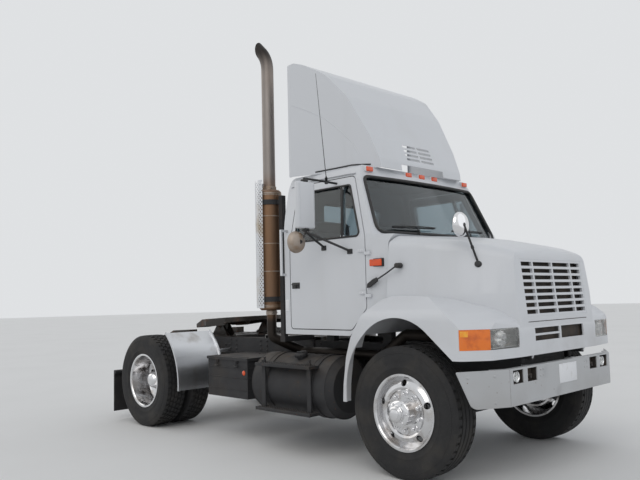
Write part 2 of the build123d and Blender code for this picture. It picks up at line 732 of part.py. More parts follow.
DOOR_OUTLINE = [
    (DOOR_REAR, DOOR_SILL), (-622, DOOR_SILL), (DOOR_FRONT, 1325), (DOOR_FRONT, 1935), (-660, DOOR_TOP),
    (DOOR_REAR, DOOR_TOP),
]
DOOR_RADII = [40, 60, 60, 120, 60, 60]
WINDOW_LOW = 1950
WINDOW_HIGH = 2428
VENT_REAR = VENT_BAR_X - VENT_BAR / 2
VENT_FRONT = VENT_BAR_X + VENT_BAR / 2
MAIN_WINDOW = [(-1345, WINDOW_LOW), (VENT_REAR, WINDOW_LOW), (VENT_REAR - VENT_LEAN, WINDOW_HIGH),
               (-1345, WINDOW_HIGH)]
VENT_WINDOW = [(VENT_FRONT, WINDOW_LOW), (-512, WINDOW_LOW), (-706, WINDOW_HIGH),
               (VENT_FRONT - VENT_LEAN, WINDOW_HIGH)]
SCREEN = both_ways([(928, 1974), (836, 2496)])
SCREEN_RADII = [110, 60, 60, 110]
REAR_WINDOW = both_ways([(430, 1960), (430, 2380)])


def cab():
    form = cab_form(0)
    shell = form - cab_form(CAB_WALL)
    opening = side_prism(DOOR_OUTLINE, 700, 1200, DOOR_RADII)
    for piece in pair(opening):
        shell -= piece
    shell -= front_prism(SCREEN, -800, -100, SCREEN_RADII)
    shell -= front_prism(REAR_WINDOW, CAB_REAR - 60, CAB_REAR + 100, 50)
    leaves = []
    for z in HINGE_HEIGHTS:
        leaf = rod((HINGE_X, HINGE_Y, z), (HINGE_X, HINGE_Y, z + HINGE_LEAF / 2 - FIT), HINGE_RADIUS)
        leaf += block((HINGE_X, HINGE_X + 60), (CAB_HALF - 30, HINGE_Y + 4), (z, z + HINGE_LEAF / 2 - FIT))
        leaves.append(leaf)
    for leaf in leaves:
        shell += leaf
        shell += other_side(leaf)
    save("cab_shell", shell)
    pane = cab_form(GLASS_INSET) - cab_form(GLASS_INSET + GLASS)
    screen = pane & front_prism(SCREEN, -800, -100, SCREEN_RADII, FIT)
    back = pane & front_prism(REAR_WINDOW, CAB_REAR - 60, CAB_REAR + 100, 50, FIT)
    save("cab_glass", screen, back)
    door = (form - cab_form(CAB_WALL)) & side_prism(DOOR_OUTLINE, 700, 1200, DOOR_RADII, PANEL_GAP)
    for outline in (MAIN_WINDOW, VENT_WINDOW):
        door -= side_prism(outline, 700, 1200, 30)
    for z in HINGE_HEIGHTS:
        top = z + HINGE_LEAF / 2
        door += rod((HINGE_X, HINGE_Y, top), (HINGE_X, HINGE_Y, z + HINGE_LEAF), HINGE_RADIUS)
        door += block((HINGE_X - 70, HINGE_X), (CAB_HALF - 3, HINGE_Y + 4), (top, z + HINGE_LEAF))
    save("door_left", door)
    save("door_right", other_side(door))
    panes = [pane & side_prism(outline, 700, 1200, 30, FIT) for outline in (MAIN_WINDOW, VENT_WINDOW)]
    save("door_glass_left", panes)
    save("door_glass_right", [other_side(piece) for piece in panes])


HINGE_X = DOOR_FRONT - PANEL_GAP / 2
HINGE_Y = CAB_HALF + HINGE_OUT
HINGE_HEIGHTS = (1420, 1780)


DASH = [(-150, 1500), (-620, 1500), (-700, 1600), (-700, 1780), (-560, 1900), (-150, 1925)]


def cab_inside():
    deck = side_prism(DASH, -900, 900)
    deck &= cab_form(CAB_WALL + FIT)
    save("dashboard", deck)
    hub = Vector(-860, 450, 1780)
    tilt = 62
    ring = Pos(*tuple(hub)) * Rot(0, tilt, 0) * Torus(220, 14)
    spokes = Pos(*tuple(hub)) * Rot(0, tilt, 0) * (Box(430, 36, 12) + Box(36, 430, 12) + Cylinder(60, 30))
    lean = math.radians(tilt)
    tip = (hub.X + 200 * math.sin(lean), hub.Y, hub.Z - 200 * math.cos(lean))
    column = rod(tuple(hub), tip, 28)
    save("steering_wheel", (ring + spokes + column) - side_prism(DASH, -900, 900))
    floor = CAB_FLOOR + CAB_WALL
    bases = []
    cushions = []
    for y in (-470, 450):
        bases.append(block((-1260, -960), (y - 170, y + 170), (floor, floor + 300)))
        side = [(-1330, floor + 300), (-830, floor + 300), (-830, floor + 430), (-1240, floor + 430),
                (-1330, floor + 1060), (-1450, floor + 1060)]
        cushions.append(side_prism(side, y - 250, y + 250, 30))
    save("seat_bases", bases)
    save("seats", cushions)


MIRROR_TURN = 8           # degrees, the head's inner edge forward


def cab_fittings():
    mounts = []
    for x in (-720, -1460):
        mounts += pair(block((x - 50, x + 50), (FRAME_HALF - 75, FRAME_HALF - 5), (FRAME_TOP, CAB_FLOOR)))
    save("cab_mounts", mounts)
    handle = rod((-1475, CAB_HALF + 48, 1640), (-1475, CAB_HALF + 48, 2080), 14)
    for z in (1650, 2070):
        handle += rod((-1475, CAB_HALF - 60, z), (-1475, CAB_HALF + 48, z), 12)
    handle -= cab_form(-FIT)
    save("grab_handles", pair(handle))


def mirror_head():
    """Left door mirror: tube frame, flat head turned to the driver, round wide-angle mirror below."""
    post_x = -920
    post_y = 1250
    foot_z = 2005
    arms = rod((post_x, post_y, foot_z - 12), (post_x, post_y, 2490), 11)
    arms += rod((post_x, post_y, foot_z), (-945, CAB_HALF - 20, 1870), 10)
    arms += rod((post_x, post_y, foot_z), (-625, CAB_HALF - 20, 1820), 10)
    arms += rod((post_x, post_y, 2478), (-880, 860, 2462), 10)
    head = block((-30, 30), (-102, 104), (2030, 2450))
    arms += Pos(post_x, post_y, 0) * Rot(0, 0, MIRROR_TURN) * head
    arms += rod((post_x - 25, 1335, 1912), (post_x + 20, 1335, 1912), 96)
    arms += rod((post_x, post_y, foot_z), (post_x, 1300, 1930), 9)
    for foot in ((-945, 1870), (-625, 1820)):
        arms += block((foot[0] - 30, foot[0] + 30), (CAB_HALF - 30, CAB_HALF + 12), (foot[1] - 22, foot[1] + 22))
    return arms - cab_form(-FIT)


def mirrors():
    left = mirror_head()
    save("mirror_left", left)
    whip = rod((-894, -1000, 2470), (-1000, -1000, 3505), 4)
    whip += rod((-894, -1000, 2455), (-894, -1000, 2505), 16)
    save("mirror_right", other_side(left) + whip)


def roof_fairing():
    wall = 8

    def form(inset):
        side = [
            (-1462, 2500), (-1462, 3742), (-1300, 3688), (-1085, 3562), (-865, 3302), (-650, 2902),
            (-562, 2680), (-534, 2500),
        ]
        body = side_prism(side, -1100, 1100, [0, 0, 120, 260, 400, 400, 200, 0], inset)
        plan = [
            (-1500, -938), (-1430, -935), (-900, -735), (-530, -628), (-455, -395), (-440, 0), (-455, 395),
            (-530, 628), (-900, 735), (-1430, 935), (-1500, 938),
        ]
        body &= plan_prism(plan, 2400, 3900, [0, 60, 300, 70, 90, 0, 90, 70, 300, 60, 0], inset)
        top = both_ways([(960, 2400), (940, 3722), (480, 3728)])
        body &= front_prism(top, -1600, -300, [0, 40, 500, 500, 40, 0], inset)
        return body

    inner = form(wall)
    shell = form(0) - inner
    shell -= Pos(0, 0, -60) * inner
    shell -= Pos(-60, 0, 0) * inner
    shell -= cab_form(-FIT)
    shell -= block((-1600, -400), (-1100, 1100), (2400, 2598))
    shell -= block((-760, -400), (-330, 330), (2500, 2658))
    for row in range(4):
        low = 2714 + row * 45
        for column in ((-214, -12), (12, 214)):
            shell -= block((-900, -400), column, (low, low + 24))
    save("roof_fairing", shell)


ROOF_LAMP_X = -566        # front of the roof lamps
ROOF_LAMP_LOW = 2546
ROOF_LAMP_BACK = 14       # the two outer ones behind the others


def body_lamps():
    lamps = []
    for y in (-750, -204, 0, 204, 750):
        x = ROOF_LAMP_X - (ROOF_LAMP_BACK if abs(y) > 500 else 0)
        z = ROOF_LAMP_LOW
        lamps.append(block((x - 80, x), (y - 50, y + 50), (z, z + 50)) - cab_form(-FIT))
    side = block((-420, -272), (900, CAB_HALF - 2), (1675, 1745)) - cab_form(-FIT)
    tail_x = FRAME_REAR
    tail = block((tail_x - 40, tail_x), (FRAME_HALF - 100, FRAME_HALF - 2), (FRAME_TOP - 200, FRAME_TOP - 60))
    save("body_lamps", lamps, pair(side), pair(tail))


# Exhaust

def exhaust():
    axis = (STACK_X, STACK_Y)
    length = MUFFLER_HIGH - MUFFLER_LOW
    can = Pos(*axis, MUFFLER_LOW + length / 2) * Cylinder(MUFFLER_RADIUS, length)
    can = chamfer(can.edges().filter_by(GeomType.CIRCLE), 18)
    save("muffler", can)
    bend = STACK_TOP - 209
    tip = (STACK_X - 300, STACK_Y, bend + 300)
    stack = pipe([(*axis, MUFFLER_HIGH), (*axis, bend), tip], STACK_RADIUS, 300)
    stack -= pipe([(*axis, STACK_TOP - 500), (*axis, bend), tip], STACK_RADIUS - 5, 300)
    stack &= block((STACK_X - 120, STACK_X + 200), (STACK_Y - 200, STACK_Y + 200), (MUFFLER_HIGH, STACK_TOP))
    lower = pipe([(*axis, MUFFLER_LOW), (*axis, 1040), (-1720, -560, 885), (-680, -540, 885), (-460, -470, 1075),
                  (-140, -470, 1075), (-140, -ENGINE_HALF - FIT, 1075)], 48, 70)
    save("exhaust_pipes", stack, lower)
    sheet = Cylinder(SHIELD_RADIUS, 1300) - Cylinder(SHIELD_RADIUS - 3, 1400)
    wedge = plan_prism([(0, 0), (-300, 180), (-300, -400), (300, -400), (120, -300)], -700, 700)
    sheet &= wedge
    for z in (-500, 0, 500):
        for angle in (200, 285):
            turn = math.radians(angle)
            x = math.cos(turn)
            y = math.sin(turn)
            inner = MUFFLER_RADIUS + FIT
            outer = SHIELD_RADIUS - 1
            sheet += rod((inner * x, inner * y, z), (outer * x, outer * y, z), 10)
    save("heat_shield", Pos(*axis, 1980) * sheet)
    post_x = STACK_X + 175
    bracket = block((post_x - 25, post_x + 25), (STACK_Y - 10, STACK_Y + 40), (FRAME_TOP + 8, 2460))
    foot_x = (post_x - 35, post_x + 35)
    bracket += block(foot_x, (STACK_Y - 10, -FRAME_HALF), (FRAME_TOP + 8, FRAME_TOP + 60))
    bracket += block(foot_x, (-FRAME_HALF - 12, -FRAME_HALF), (FRAME_TOP - 90, FRAME_TOP + 10))
    for z in (1420, 2400):
        ring = Cylinder(MUFFLER_RADIUS + 10, 50) - Cylinder(MUFFLER_RADIUS + FIT, 60)
        bracket += Pos(*axis, z) * ring
        bracket += block((STACK_X + MUFFLER_RADIUS + 5, post_x), (STACK_Y - 10, STACK_Y + 30), (z - 22, z + 22))
    save("exhaust_bracket", bracket)


# Tanks, boxes and steps

def tanks():
    start = TANK_FRONT - TANK_LENGTH
    round_end = 60
    profile = [(0, 0), (TANK_RADIUS - round_end, 0), (TANK_RADIUS, round_end),
               (TANK_RADIUS, TANK_LENGTH - round_end), (TANK_RADIUS - round_end, TANK_LENGTH), (0, TANK_LENGTH)]
    face = make_face(Polyline(*[(x, 0, r) for r, x in profile], close=True))
    tank = Pos(start, TANK_Y, TANK_Z) * revolve(face, axis=Axis.X)
    save("fuel_tanks", pair(tank))
    pieces = Part()
    straps = (start + 250, TANK_FRONT - 230)
    for x in straps:
        hoop = Rot(0, 90, 0) * (Cylinder(TANK_RADIUS + STRAP, STRAP_WIDTH) - Cylinder(TANK_RADIUS + FIT, 100))
        pieces += Pos(x, TANK_Y, TANK_Z) * hoop
        arm = block((x - 30, x + 30), (FRAME_HALF, TANK_Y - 60), (TANK_Z - 200, TANK_Z + 205))
        arm -= Pos(x, TANK_Y, TANK_Z) * Rot(0, 90, 0) * Cylinder(TANK_RADIUS + FIT, 100)
        pieces += arm
        out = TANK_Y + TANK_RADIUS + STRAP
        pieces += block((x - 25, x + 25), (out - 2, out + 12), (390, 850))
    for z in (390, 800):
        y = (TANK_Y + 225, TANK_Y + 350)
        pieces += block((straps[0] - 60, straps[1] + 60), y, (z, z + 26))
    save("tank_steps", pair(pieces))


def boxes():
    case = block((-2750, -2080), (FRAME_HALF, 1000), (420, 800))
    lid = block((-2762, -2068), (FRAME_HALF, 1012), (800, 830))
    save("battery_box", other_side(case + lid))
    pieces = Part()
    for y, z in ((580, 700), (830, 700)):
        pieces += rod((-2780, y, z), (-2060, y, z), 112)
    for x in (-2650, -2190):
        pieces += block((x, x + 40), (FRAME_HALF, 900), (780, 830))
    save("air_tanks", pieces)
    planks = []
    for number in range(4):
        x = -2480 + number * 225
        planks.append(block((x, x + 210), (5 - FRAME_HALF, FRAME_HALF - 5), (FRAME_TOP, FRAME_TOP + 38)))
    save("deck_planks", planks)


QUARTER_RADIUS = 720


def quarter_fenders():
    arc = Pos(REAR_AXLE, 0, AXLE_HEIGHT) * Rot(90, 0, 0)
    width = 610
    ring = Cylinder(QUARTER_RADIUS, width) - Cylinder(QUARTER_RADIUS - 4, width + 10)
    lip = Cylinder(QUARTER_RADIUS + 16, 18) - Cylinder(QUARTER_RADIUS - 4, 30)
    ring += Pos(0, 0, width / 2 - 9) * lip
    ring += Pos(0, 0, 9 - width / 2) * lip
    wedge = side_prism([(REAR_AXLE, AXLE_HEIGHT), (REAR_AXLE + 900, AXLE_HEIGHT - 80),
                        (REAR_AXLE + 900, AXLE_HEIGHT + 900), (REAR_AXLE + 755, AXLE_HEIGHT + 900)], -500, 500)
    sheet = Pos(0, 905, 0) * ((arc * ring) & wedge)
    angle = math.radians(28)
    inner = QUARTER_RADIUS - 4 - 21
    x = REAR_AXLE + inner * math.cos(angle)
    z = AXLE_HEIGHT + inner * math.sin(angle)
    sheet += rod((x, FRAME_HALF, z), (x, 1150, z), 22)
    save("quarter_fenders", pair(sheet))


def mudflaps():
    x = REAR_END
    flap = block((x, x + 10), (600, 1200), (100, 590))
    hanger = rod((x + 32, 590, 575), (x + 32, 1205, 575), 22)
    hanger += rod((x + 32, 600, 575), (FRAME_REAR + 40, 470, 800), 18)
    hanger += block((FRAME_REAR + 10, FRAME_REAR + 90), (FRAME_HALF, 490), (770, 850))
    save("mudflaps", pair(flap))
    save("flap_hangers", pair(hanger))


# Fifth wheel

def fifth_wheel():
    tilt = Pos(PLATE_X, 0, PLATE_TOP) * Rot(0, -PLATE_REST_TILT, 0)
    edge = [
        ThreePointArc((190, -PLATE_HALF, 0), (440, 0, 0), (190, PLATE_HALF, 0)),
        Polyline((190, PLATE_HALF, 0), (-200, PLATE_HALF, 0), (-330, 430, 0), (-500, 400, 0), (-500, 215, 0),
                 (-60, KINGPIN_SLOT, 0), (0, KINGPIN_SLOT, 0)),
        ThreePointArc((0, KINGPIN_SLOT, 0), (KINGPIN_SLOT, 0, 0), (0, -KINGPIN_SLOT, 0)),
        Polyline((0, -KINGPIN_SLOT, 0), (-60, -KINGPIN_SLOT, 0), (-500, -215, 0), (-500, -400, 0),
                 (-330, -430, 0), (-200, -PLATE_HALF, 0), (190, -PLATE_HALF, 0)),
    ]
    outline = make_face(edge)
    wall = PLATE_WALL
    section = [(460, 0), (RAMP_X, 0), (-520, -RAMP_DROP), (-520, -RAMP_DROP - 40), (-220, -75), (-170, -90),
               (170, -90), (230, -58), (460, -45)]
    under = [(460, -wall), (RAMP_X - 3, -wall), (-530, -RAMP_DROP - wall), (-530, -200), (460, -200)]
    rise = Pos(0, 0, -200)
    plate = (rise * extrude(outline, amount=210, dir=(0, 0, 1))) & side_prism(section, -600, 600)
    pocket = rise * extrude(offset(outline, amount=-wall), amount=210, dir=(0, 0, 1))
    plate -= pocket & side_prism(under, -600, 600)
    for side in (-1, 1):
        y = sorted((side * 330, side * 370))
        ear = block((-60, 60), y, (-PIVOT_DROP - 45, -5))
        ear -= rod((0, y[0] - 5, -PIVOT_DROP), (0, y[1] + 5, -PIVOT_DROP), PIVOT_PIN + FIT)
        plate += ear
    save("fifth_wheel_plate", tilt * plate)
    lean = math.radians(PLATE_REST_TILT)
    pivot_x = PLATE_X + PIVOT_DROP * math.sin(lean)
    pivot_z = PLATE_TOP - PIVOT_DROP * math.cos(lean)
    base = Part()
    for side in (-1, 1):
        y = sorted((side * 380, side * 410))
        leg = side_prism([(pivot_x - 150, FRAME_TOP + 12), (pivot_x + 150, FRAME_TOP + 12),
                          (pivot_x + 40, pivot_z + 30), (pivot_x - 40, pivot_z + 30)], *y)
        y_in = sorted((side * 290, side * 320))
        leg += side_prism([(pivot_x - 150, FRAME_TOP + 12), (pivot_x + 150, FRAME_TOP + 12),
                           (pivot_x + 40, pivot_z + 30), (pivot_x - 40, pivot_z + 30)], *y_in)
        leg += rod((pivot_x, y_in[0 if side > 0 else 1], pivot_z), (pivot_x, y[1 if side > 0 else 0], pivot_z),
                   PIVOT_PIN)
        base += leg
    base += block((pivot_x - 260, pivot_x + 260), (-FRAME_HALF, FRAME_HALF), (FRAME_TOP, FRAME_TOP + 12))
    side = [
        (RAIL_RAMP, FRAME_TOP), (RAIL_RAMP, FRAME_TOP + RAIL_RAMP_HIGH), (FRAME_REAR + 20, FRAME_TOP + 52),
        (FRAME_REAR - 60, FRAME_TOP + 20), (FRAME_REAR - 60, FRAME_TOP),
    ]
    ramp = side_prism(side, 320, FRAME_HALF)
    save("fifth_wheel_base", base, pair(ramp))


def build():
    os.makedirs("parts", exist_ok=True)
    frame_rails()
    crossmembers()
    front_axle()
    knuckles()
    wheels()
    rear_axle()
    driveline()
    bumper()
    hood()
    grille()
    headlamps()
    hood_fittings()
    cab()
    cab_inside()
    cab_fittings()
    mirrors()
    roof_fairing()
    body_lamps()
    exhaust()
    tanks()
    boxes()
    quarter_fenders()
    mudflaps()
    fifth_wheel()


build()
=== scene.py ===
import math

import bmesh
import bpy
from mathutils import Matrix, Vector
from mathutils.bvhtree import BVHTree


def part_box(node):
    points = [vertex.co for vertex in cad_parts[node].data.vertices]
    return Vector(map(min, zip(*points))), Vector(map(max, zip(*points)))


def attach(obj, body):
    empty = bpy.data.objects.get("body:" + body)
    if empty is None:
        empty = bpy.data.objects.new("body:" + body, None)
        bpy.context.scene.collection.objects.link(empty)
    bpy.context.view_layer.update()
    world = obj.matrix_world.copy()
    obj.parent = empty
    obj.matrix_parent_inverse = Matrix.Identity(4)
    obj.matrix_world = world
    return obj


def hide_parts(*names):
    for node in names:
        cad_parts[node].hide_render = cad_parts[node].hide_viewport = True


# A day-cab road tractor: paint, rubber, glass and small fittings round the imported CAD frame.
# Metres. X to the front of the truck, Y to its left, Z up from the road.

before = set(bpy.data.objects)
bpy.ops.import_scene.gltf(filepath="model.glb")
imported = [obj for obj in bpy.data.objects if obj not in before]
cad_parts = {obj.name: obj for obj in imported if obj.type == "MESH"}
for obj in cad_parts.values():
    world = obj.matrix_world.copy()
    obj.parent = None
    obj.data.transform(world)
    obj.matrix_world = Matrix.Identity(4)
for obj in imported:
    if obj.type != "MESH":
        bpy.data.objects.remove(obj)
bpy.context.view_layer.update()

X, Y, Z = Vector((1, 0, 0)), Vector((0, 1, 0)), Vector((0, 0, 1))


def middle(node):
    low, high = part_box(node)
    return (low + high) / 2


FRONT = middle("front_tyre_right").x
REAR = middle("rear_tyres_right").x
HUB = middle("front_tyre_right").z
FRONT_TYRE_Y = middle("front_tyre_left").y
REAR_TYRES_Y = middle("rear_tyres_left").y
SIDES = (("left", 1), ("right", -1))
BOTH = (-1, 1)


def at(x, y, z):
    """A point given from the middle of the front axle, on the road."""
    return Vector((FRONT + x, y, z))


def on_side(sign):
    """Like at(), for points given on the left: 1 keeps them there, -1 puts them on the right."""
    return lambda x, y, z: at(x, sign * y, z)


# Finishes

class Finish:
    """One paint, metal, rubber or glass, with the patterns that vary it over the surface."""

    def __init__(self, name, colour, roughness, metallic=0.0, **sockets):
        self.material = bpy.data.materials.new(name)
        self.material.use_nodes = True
        self.tree = self.material.node_tree
        self.shader = self.tree.nodes["Principled BSDF"]
        self.colour = (*colour, 1)
        self.roughness = roughness
        self.shader.inputs["Base Color"].default_value = self.colour
        self.shader.inputs["Roughness"].default_value = roughness
        self.shader.inputs["Metallic"].default_value = metallic
        for socket, value in sockets.items():
            self.shader.inputs[socket.replace("_", " ")].default_value = value
        self.place = self.node("TexCoord").outputs["Object"]

    def node(self, kind, **inputs):
        made = self.tree.nodes.new("ShaderNode" + kind)
        for name, value in inputs.items():
            self.feed(made.inputs[name.replace("_", " ")], value)
        return made

    def feed(self, socket, value):
        if isinstance(value, bpy.types.NodeSocket):
            self.tree.links.new(value, socket)
        else:
            socket.default_value = value

    def stretched(self, scale):
        return self.node("Mapping", Vector=self.place, Scale=scale).outputs["Vector"]

    def noise(self, scale, detail=3.0, stretch=(1, 1, 1)):
        vector = self.stretched(stretch)
        return self.node("TexNoise", Vector=vector, Scale=scale, Detail=detail).outputs["Fac"]

    def cells(self, scale, stretch=(1, 1, 1)):
        return self.node("TexVoronoi", Vector=self.stretched(stretch), Scale=scale).outputs["Distance"]

    def along(self, axis):
        """The place along X, Y or Z, in metres."""
        return self.node("SeparateXYZ", Vector=self.place).outputs[axis]

    def facing_up(self):
        normal = self.node("NewGeometry").outputs["Normal"]
        return self.step(self.node("SeparateXYZ", Vector=normal).outputs["Z"], 0.2, 0.9)

    def step(self, value, low, high):
        """0 at low, 1 at high, and smooth between."""
        made = self.node("MapRange", Value=value)
        made.interpolation_type = "SMOOTHSTEP"
        made.inputs["From Min"].default_value = low
        made.inputs["From Max"].default_value = high
        return made.outputs["Result"]

    def times(self, first, second):
        made = self.node("Math")
        made.operation = "MULTIPLY"
        self.feed(made.inputs[0], first)
        self.feed(made.inputs[1], second)
        return made.outputs["Value"]

    def tint(self, share, colour):
        """Lays another colour over the surface, by a share from 0 to 1."""
        mix = self.node("Mix")
        mix.data_type = "RGBA"
        self.feed(mix.inputs["Factor"], share)
        self.feed(mix.inputs[6], self.colour)
        mix.inputs[7].default_value = (*colour, 1)
        self.colour = mix.outputs[2]
        self.feed(self.shader.inputs["Base Color"], self.colour)
        return self

    def dull(self, share, roughness):
        """Changes the roughness towards another value, by a share from 0 to 1."""
        made = self.node("MapRange", Value=share)
        self.feed(made.inputs["To Min"], self.roughness)
        made.inputs["To Max"].default_value = roughness
        self.roughness = made.outputs["Result"]
        self.feed(self.shader.inputs["Roughness"], self.roughness)
        return self

    def rough(self, height, depth, strength=0.5):
        """Raises the surface by a height pattern, depth in metres."""
        bump = self.node("Bump", Height=height, Strength=strength, Distance=depth)
        self.feed(self.shader.inputs["Normal"], bump.outputs["Normal"])
        return self

    def patches(self, scale, detail, low, high, colour, share=1.0):
        """Another colour in patches of noise: none up to low, all of it from high, or a share of that."""
        cover = self.step(self.noise(scale, detail), low, high)
        return self.tint(cover if share == 1.0 else self.times(cover, share), colour)

    def grain(self, scale, detail, depth, strength):
        """An even grain of noise all over the surface."""
        return self.rough(self.noise(scale, detail), depth, strength)


def road_film(finish, top, colour=(0.23, 0.20, 0.17), share=0.6):
    """Road dirt that thins out towards a height."""
    height = finish.step(finish.along("Z"), top, top - 0.8)
    patches = finish.step(finish.noise(2.6, 6), 0.38, 0.72)
    cover = finish.times(finish.times(height, patches), share)
    finish.tint(cover, colour)
    return finish.dull(cover, 0.8)


def worn_white(name):
    """White paint with rain streaks and road dirt, before its grain."""
    finish = Finish(name, (0.66, 0.675, 0.70), 0.42, Coat_Weight=0.25, Coat_Roughness=0.2)
    streaks = finish.noise(3.0, 6, (1, 1, 0.18))
    finish.tint(finish.times(finish.step(streaks, 0.48, 0.8), 0.22), (0.52, 0.52, 0.50))
    finish.dull(finish.step(finish.noise(1.3, 4), 0.35, 0.75), 0.5)
    return road_film(finish, 1.35, share=0.5)


def white_paint():
    return worn_white("white_paint").grain(160, 2, 0.0003, 0.25).material


CAB_MIDDLE = (-0.95, 0, 1.86)


def cab_paint():
    """The white paint outside, and grey lining where a surface looks in to the middle of the cab."""
    finish = worn_white("cab_paint")
    away = finish.node("VectorMath")
    away.operation = "SUBTRACT"
    finish.feed(away.inputs[0], finish.place)
    away.inputs[1].default_value = tuple(at(*CAB_MIDDLE))
    lean = finish.node("VectorMath")
    lean.operation = "DOT_PRODUCT"
    finish.feed(lean.inputs[0], away.outputs["Vector"])
    finish.feed(lean.inputs[1], finish.node("NewGeometry").outputs["Normal"])
    inside = finish.step(lean.outputs["Value"], 0.0, -0.06)
    finish.tint(inside, (0.20, 0.205, 0.215))
    return finish.dull(inside, 0.85).grain(160, 2, 0.0003, 0.25).material


def bumper_paint():
    finish = Finish("bumper_paint", (0.47, 0.48, 0.49), 0.42, Coat_Weight=0.15)
    finish.patches(5, 8, 0.55, 0.72, (0.40, 0.41, 0.42))
    finish.patches(34, 5, 0.70, 0.74, (0.20, 0.15, 0.12))
    road_film(finish, 1.0, share=0.45)
    return finish.grain(60, 3, 0.0006, 0.3).material


def chassis_paint():
    finish = Finish("chassis_paint", (0.022, 0.022, 0.024), 0.5)
    dust = finish.times(finish.facing_up(), finish.step(finish.noise(7, 6), 0.3, 0.7))
    finish.tint(finish.times(dust, 0.5), (0.10, 0.082, 0.065))
    finish.patches(3.2, 8, 0.5, 0.72, (0.06, 0.046, 0.034), 0.4)
    finish.patches(46, 6, 0.68, 0.73, (0.11, 0.045, 0.02))
    finish.dull(finish.noise(9, 5), 0.85)
    return finish.grain(90, 5, 0.0012, 0.45).material


def cast_metal():
    finish = Finish("cast_metal", (0.10, 0.095, 0.09), 0.6, 0.55)
    finish.patches(6, 7, 0.42, 0.7, (0.05, 0.036, 0.026))
    finish.patches(18, 6, 0.6, 0.74, (0.15, 0.065, 0.03))
    return finish.grain(140, 5, 0.0015, 0.6).material


def polished_wheel():
    finish = Finish("polished_wheel", (0.72, 0.72, 0.73), 0.14, 1.0)
    smears = finish.step(finish.noise(8, 7), 0.45, 0.72)
    finish.tint(finish.times(smears, 0.55), (0.33, 0.29, 0.25))
    finish.dull(smears, 0.42)
    return finish.grain(300, 2, 0.0001, 0.2).material


def dusty_dish():
    finish = Finish("dusty_dish", (0.34, 0.33, 0.32), 0.36, 0.9)
    finish.patches(6, 7, 0.36, 0.62, (0.13, 0.10, 0.085))
    finish.dull(finish.noise(11, 4), 0.7)
    return finish.grain(80, 4, 0.0006, 0.3).material


def stainless():
    finish = Finish("stainless", (0.66, 0.67, 0.69), 0.24, 1.0)
    brushing = finish.noise(60, 3, (1, 0.04, 1))
    finish.dull(brushing, 0.42)
    grime = finish.step(finish.noise(4.5, 7), 0.5, 0.74)
    finish.tint(finish.times(grime, 0.55), (0.25, 0.21, 0.17))
    return finish.rough(brushing, 0.0003, 0.25).material


def chrome():
    finish = Finish("chrome", (0.80, 0.80, 0.81), 0.07, 1.0)
    finish.dull(finish.step(finish.noise(14, 6), 0.5, 0.8), 0.3)
    return finish.material


def heat_shield_metal():
    finish = Finish("heat_shield_metal", (0.70, 0.71, 0.73), 0.22, 1.0)
    finish.patches(4, 6, 0.5, 0.76, (0.46, 0.38, 0.28))
    finish.dull(finish.noise(12, 4), 0.4)
    return finish.material


def tyre_rubber():
    finish = Finish("tyre_rubber", (0.018, 0.018, 0.019), 0.72)
    dust = finish.step(finish.noise(5, 6), 0.42, 0.75)
    finish.tint(finish.times(dust, 0.55), (0.048, 0.043, 0.037))
    finish.patches(90, 4, 0.55, 0.8, (0.08, 0.07, 0.06), 0.3)
    finish.dull(finish.noise(16, 4), 0.95)
    return finish.grain(260, 4, 0.0008, 0.5).material


def black_rubber():
    finish = Finish("black_rubber", (0.02, 0.02, 0.021), 0.6)
    finish.patches(9, 6, 0.45, 0.75, (0.09, 0.08, 0.07), 0.4)
    return finish.grain(120, 4, 0.0006, 0.4).material


def window_glass():
    finish = Finish("window_glass", (0.40, 0.47, 0.50), 0.03, IOR=1.45, Transmission_Weight=1.0)
    return finish.dull(finish.step(finish.noise(2.4, 6), 0.45, 0.85), 0.16).material


def clear_lens():
    finish = Finish("clear_lens", (0.92, 0.93, 0.92), 0.06, IOR=1.45, Transmission_Weight=0.95)
    flutes = finish.node("TexWave", Vector=finish.place, Scale=26.0)
    flutes.bands_direction = "Y"
    return finish.rough(flutes.outputs["Fac"], 0.0015, 0.35).material


def amber_lens():
    finish = Finish("amber_lens", (0.85, 0.19, 0.008), 0.2, Coat_Weight=0.6, Coat_Roughness=0.05)
    finish.patches(11, 5, 0.5, 0.78, (0.55, 0.09, 0.004))
    return finish.rough(finish.cells(90), 0.0015, 0.5).material


def red_lens():
    finish = Finish("red_lens", (0.45, 0.012, 0.008), 0.22, Coat_Weight=0.5)
    finish.patches(12, 5, 0.5, 0.8, (0.2, 0.01, 0.008))
    return finish.rough(finish.cells(90), 0.0015, 0.5).material


def stack_steel():
    """Weathered pipe: brown round the muffler, black with soot at the tip and with dirt at the foot."""
    finish = Finish("stack_steel", (0.30, 0.27, 0.25), 0.36, 0.85)
    height = finish.along("Z")
    finish.tint(finish.times(finish.step(height, 2.75, 2.4), 0.85), (0.22, 0.105, 0.04))
    stains = finish.step(finish.noise(2.6, 7, (1, 1, 0.3)), 0.42, 0.72)
    finish.tint(finish.times(stains, 0.7), (0.17, 0.115, 0.08))
    finish.tint(finish.step(height, 3.7, 4.02), (0.03, 0.026, 0.024))
    finish.tint(finish.step(height, 1.32, 1.18), (0.035, 0.029, 0.025))
    finish.dull(finish.noise(7, 6), 0.62)
    return finish.grain(120, 4, 0.0006, 0.35).material


def greasy_steel():
    finish = Finish("greasy_steel", (0.045, 0.034, 0.028), 0.6, 0.4)
    finish.patches(9, 8, 0.45, 0.66, (0.085, 0.042, 0.022))
    grease = finish.step(finish.noise(3.6, 6), 0.44, 0.58)
    finish.tint(grease, (0.022, 0.018, 0.015))
    finish.dull(grease, 0.28)
    return finish.grain(70, 7, 0.002, 0.6).material


def tread_aluminium():
    finish = Finish("tread_aluminium", (0.40, 0.40, 0.40), 0.42, 0.9)
    finish.patches(7, 7, 0.4, 0.66, (0.14, 0.115, 0.09))
    return finish.grain(110, 4, 0.0008, 0.4).material


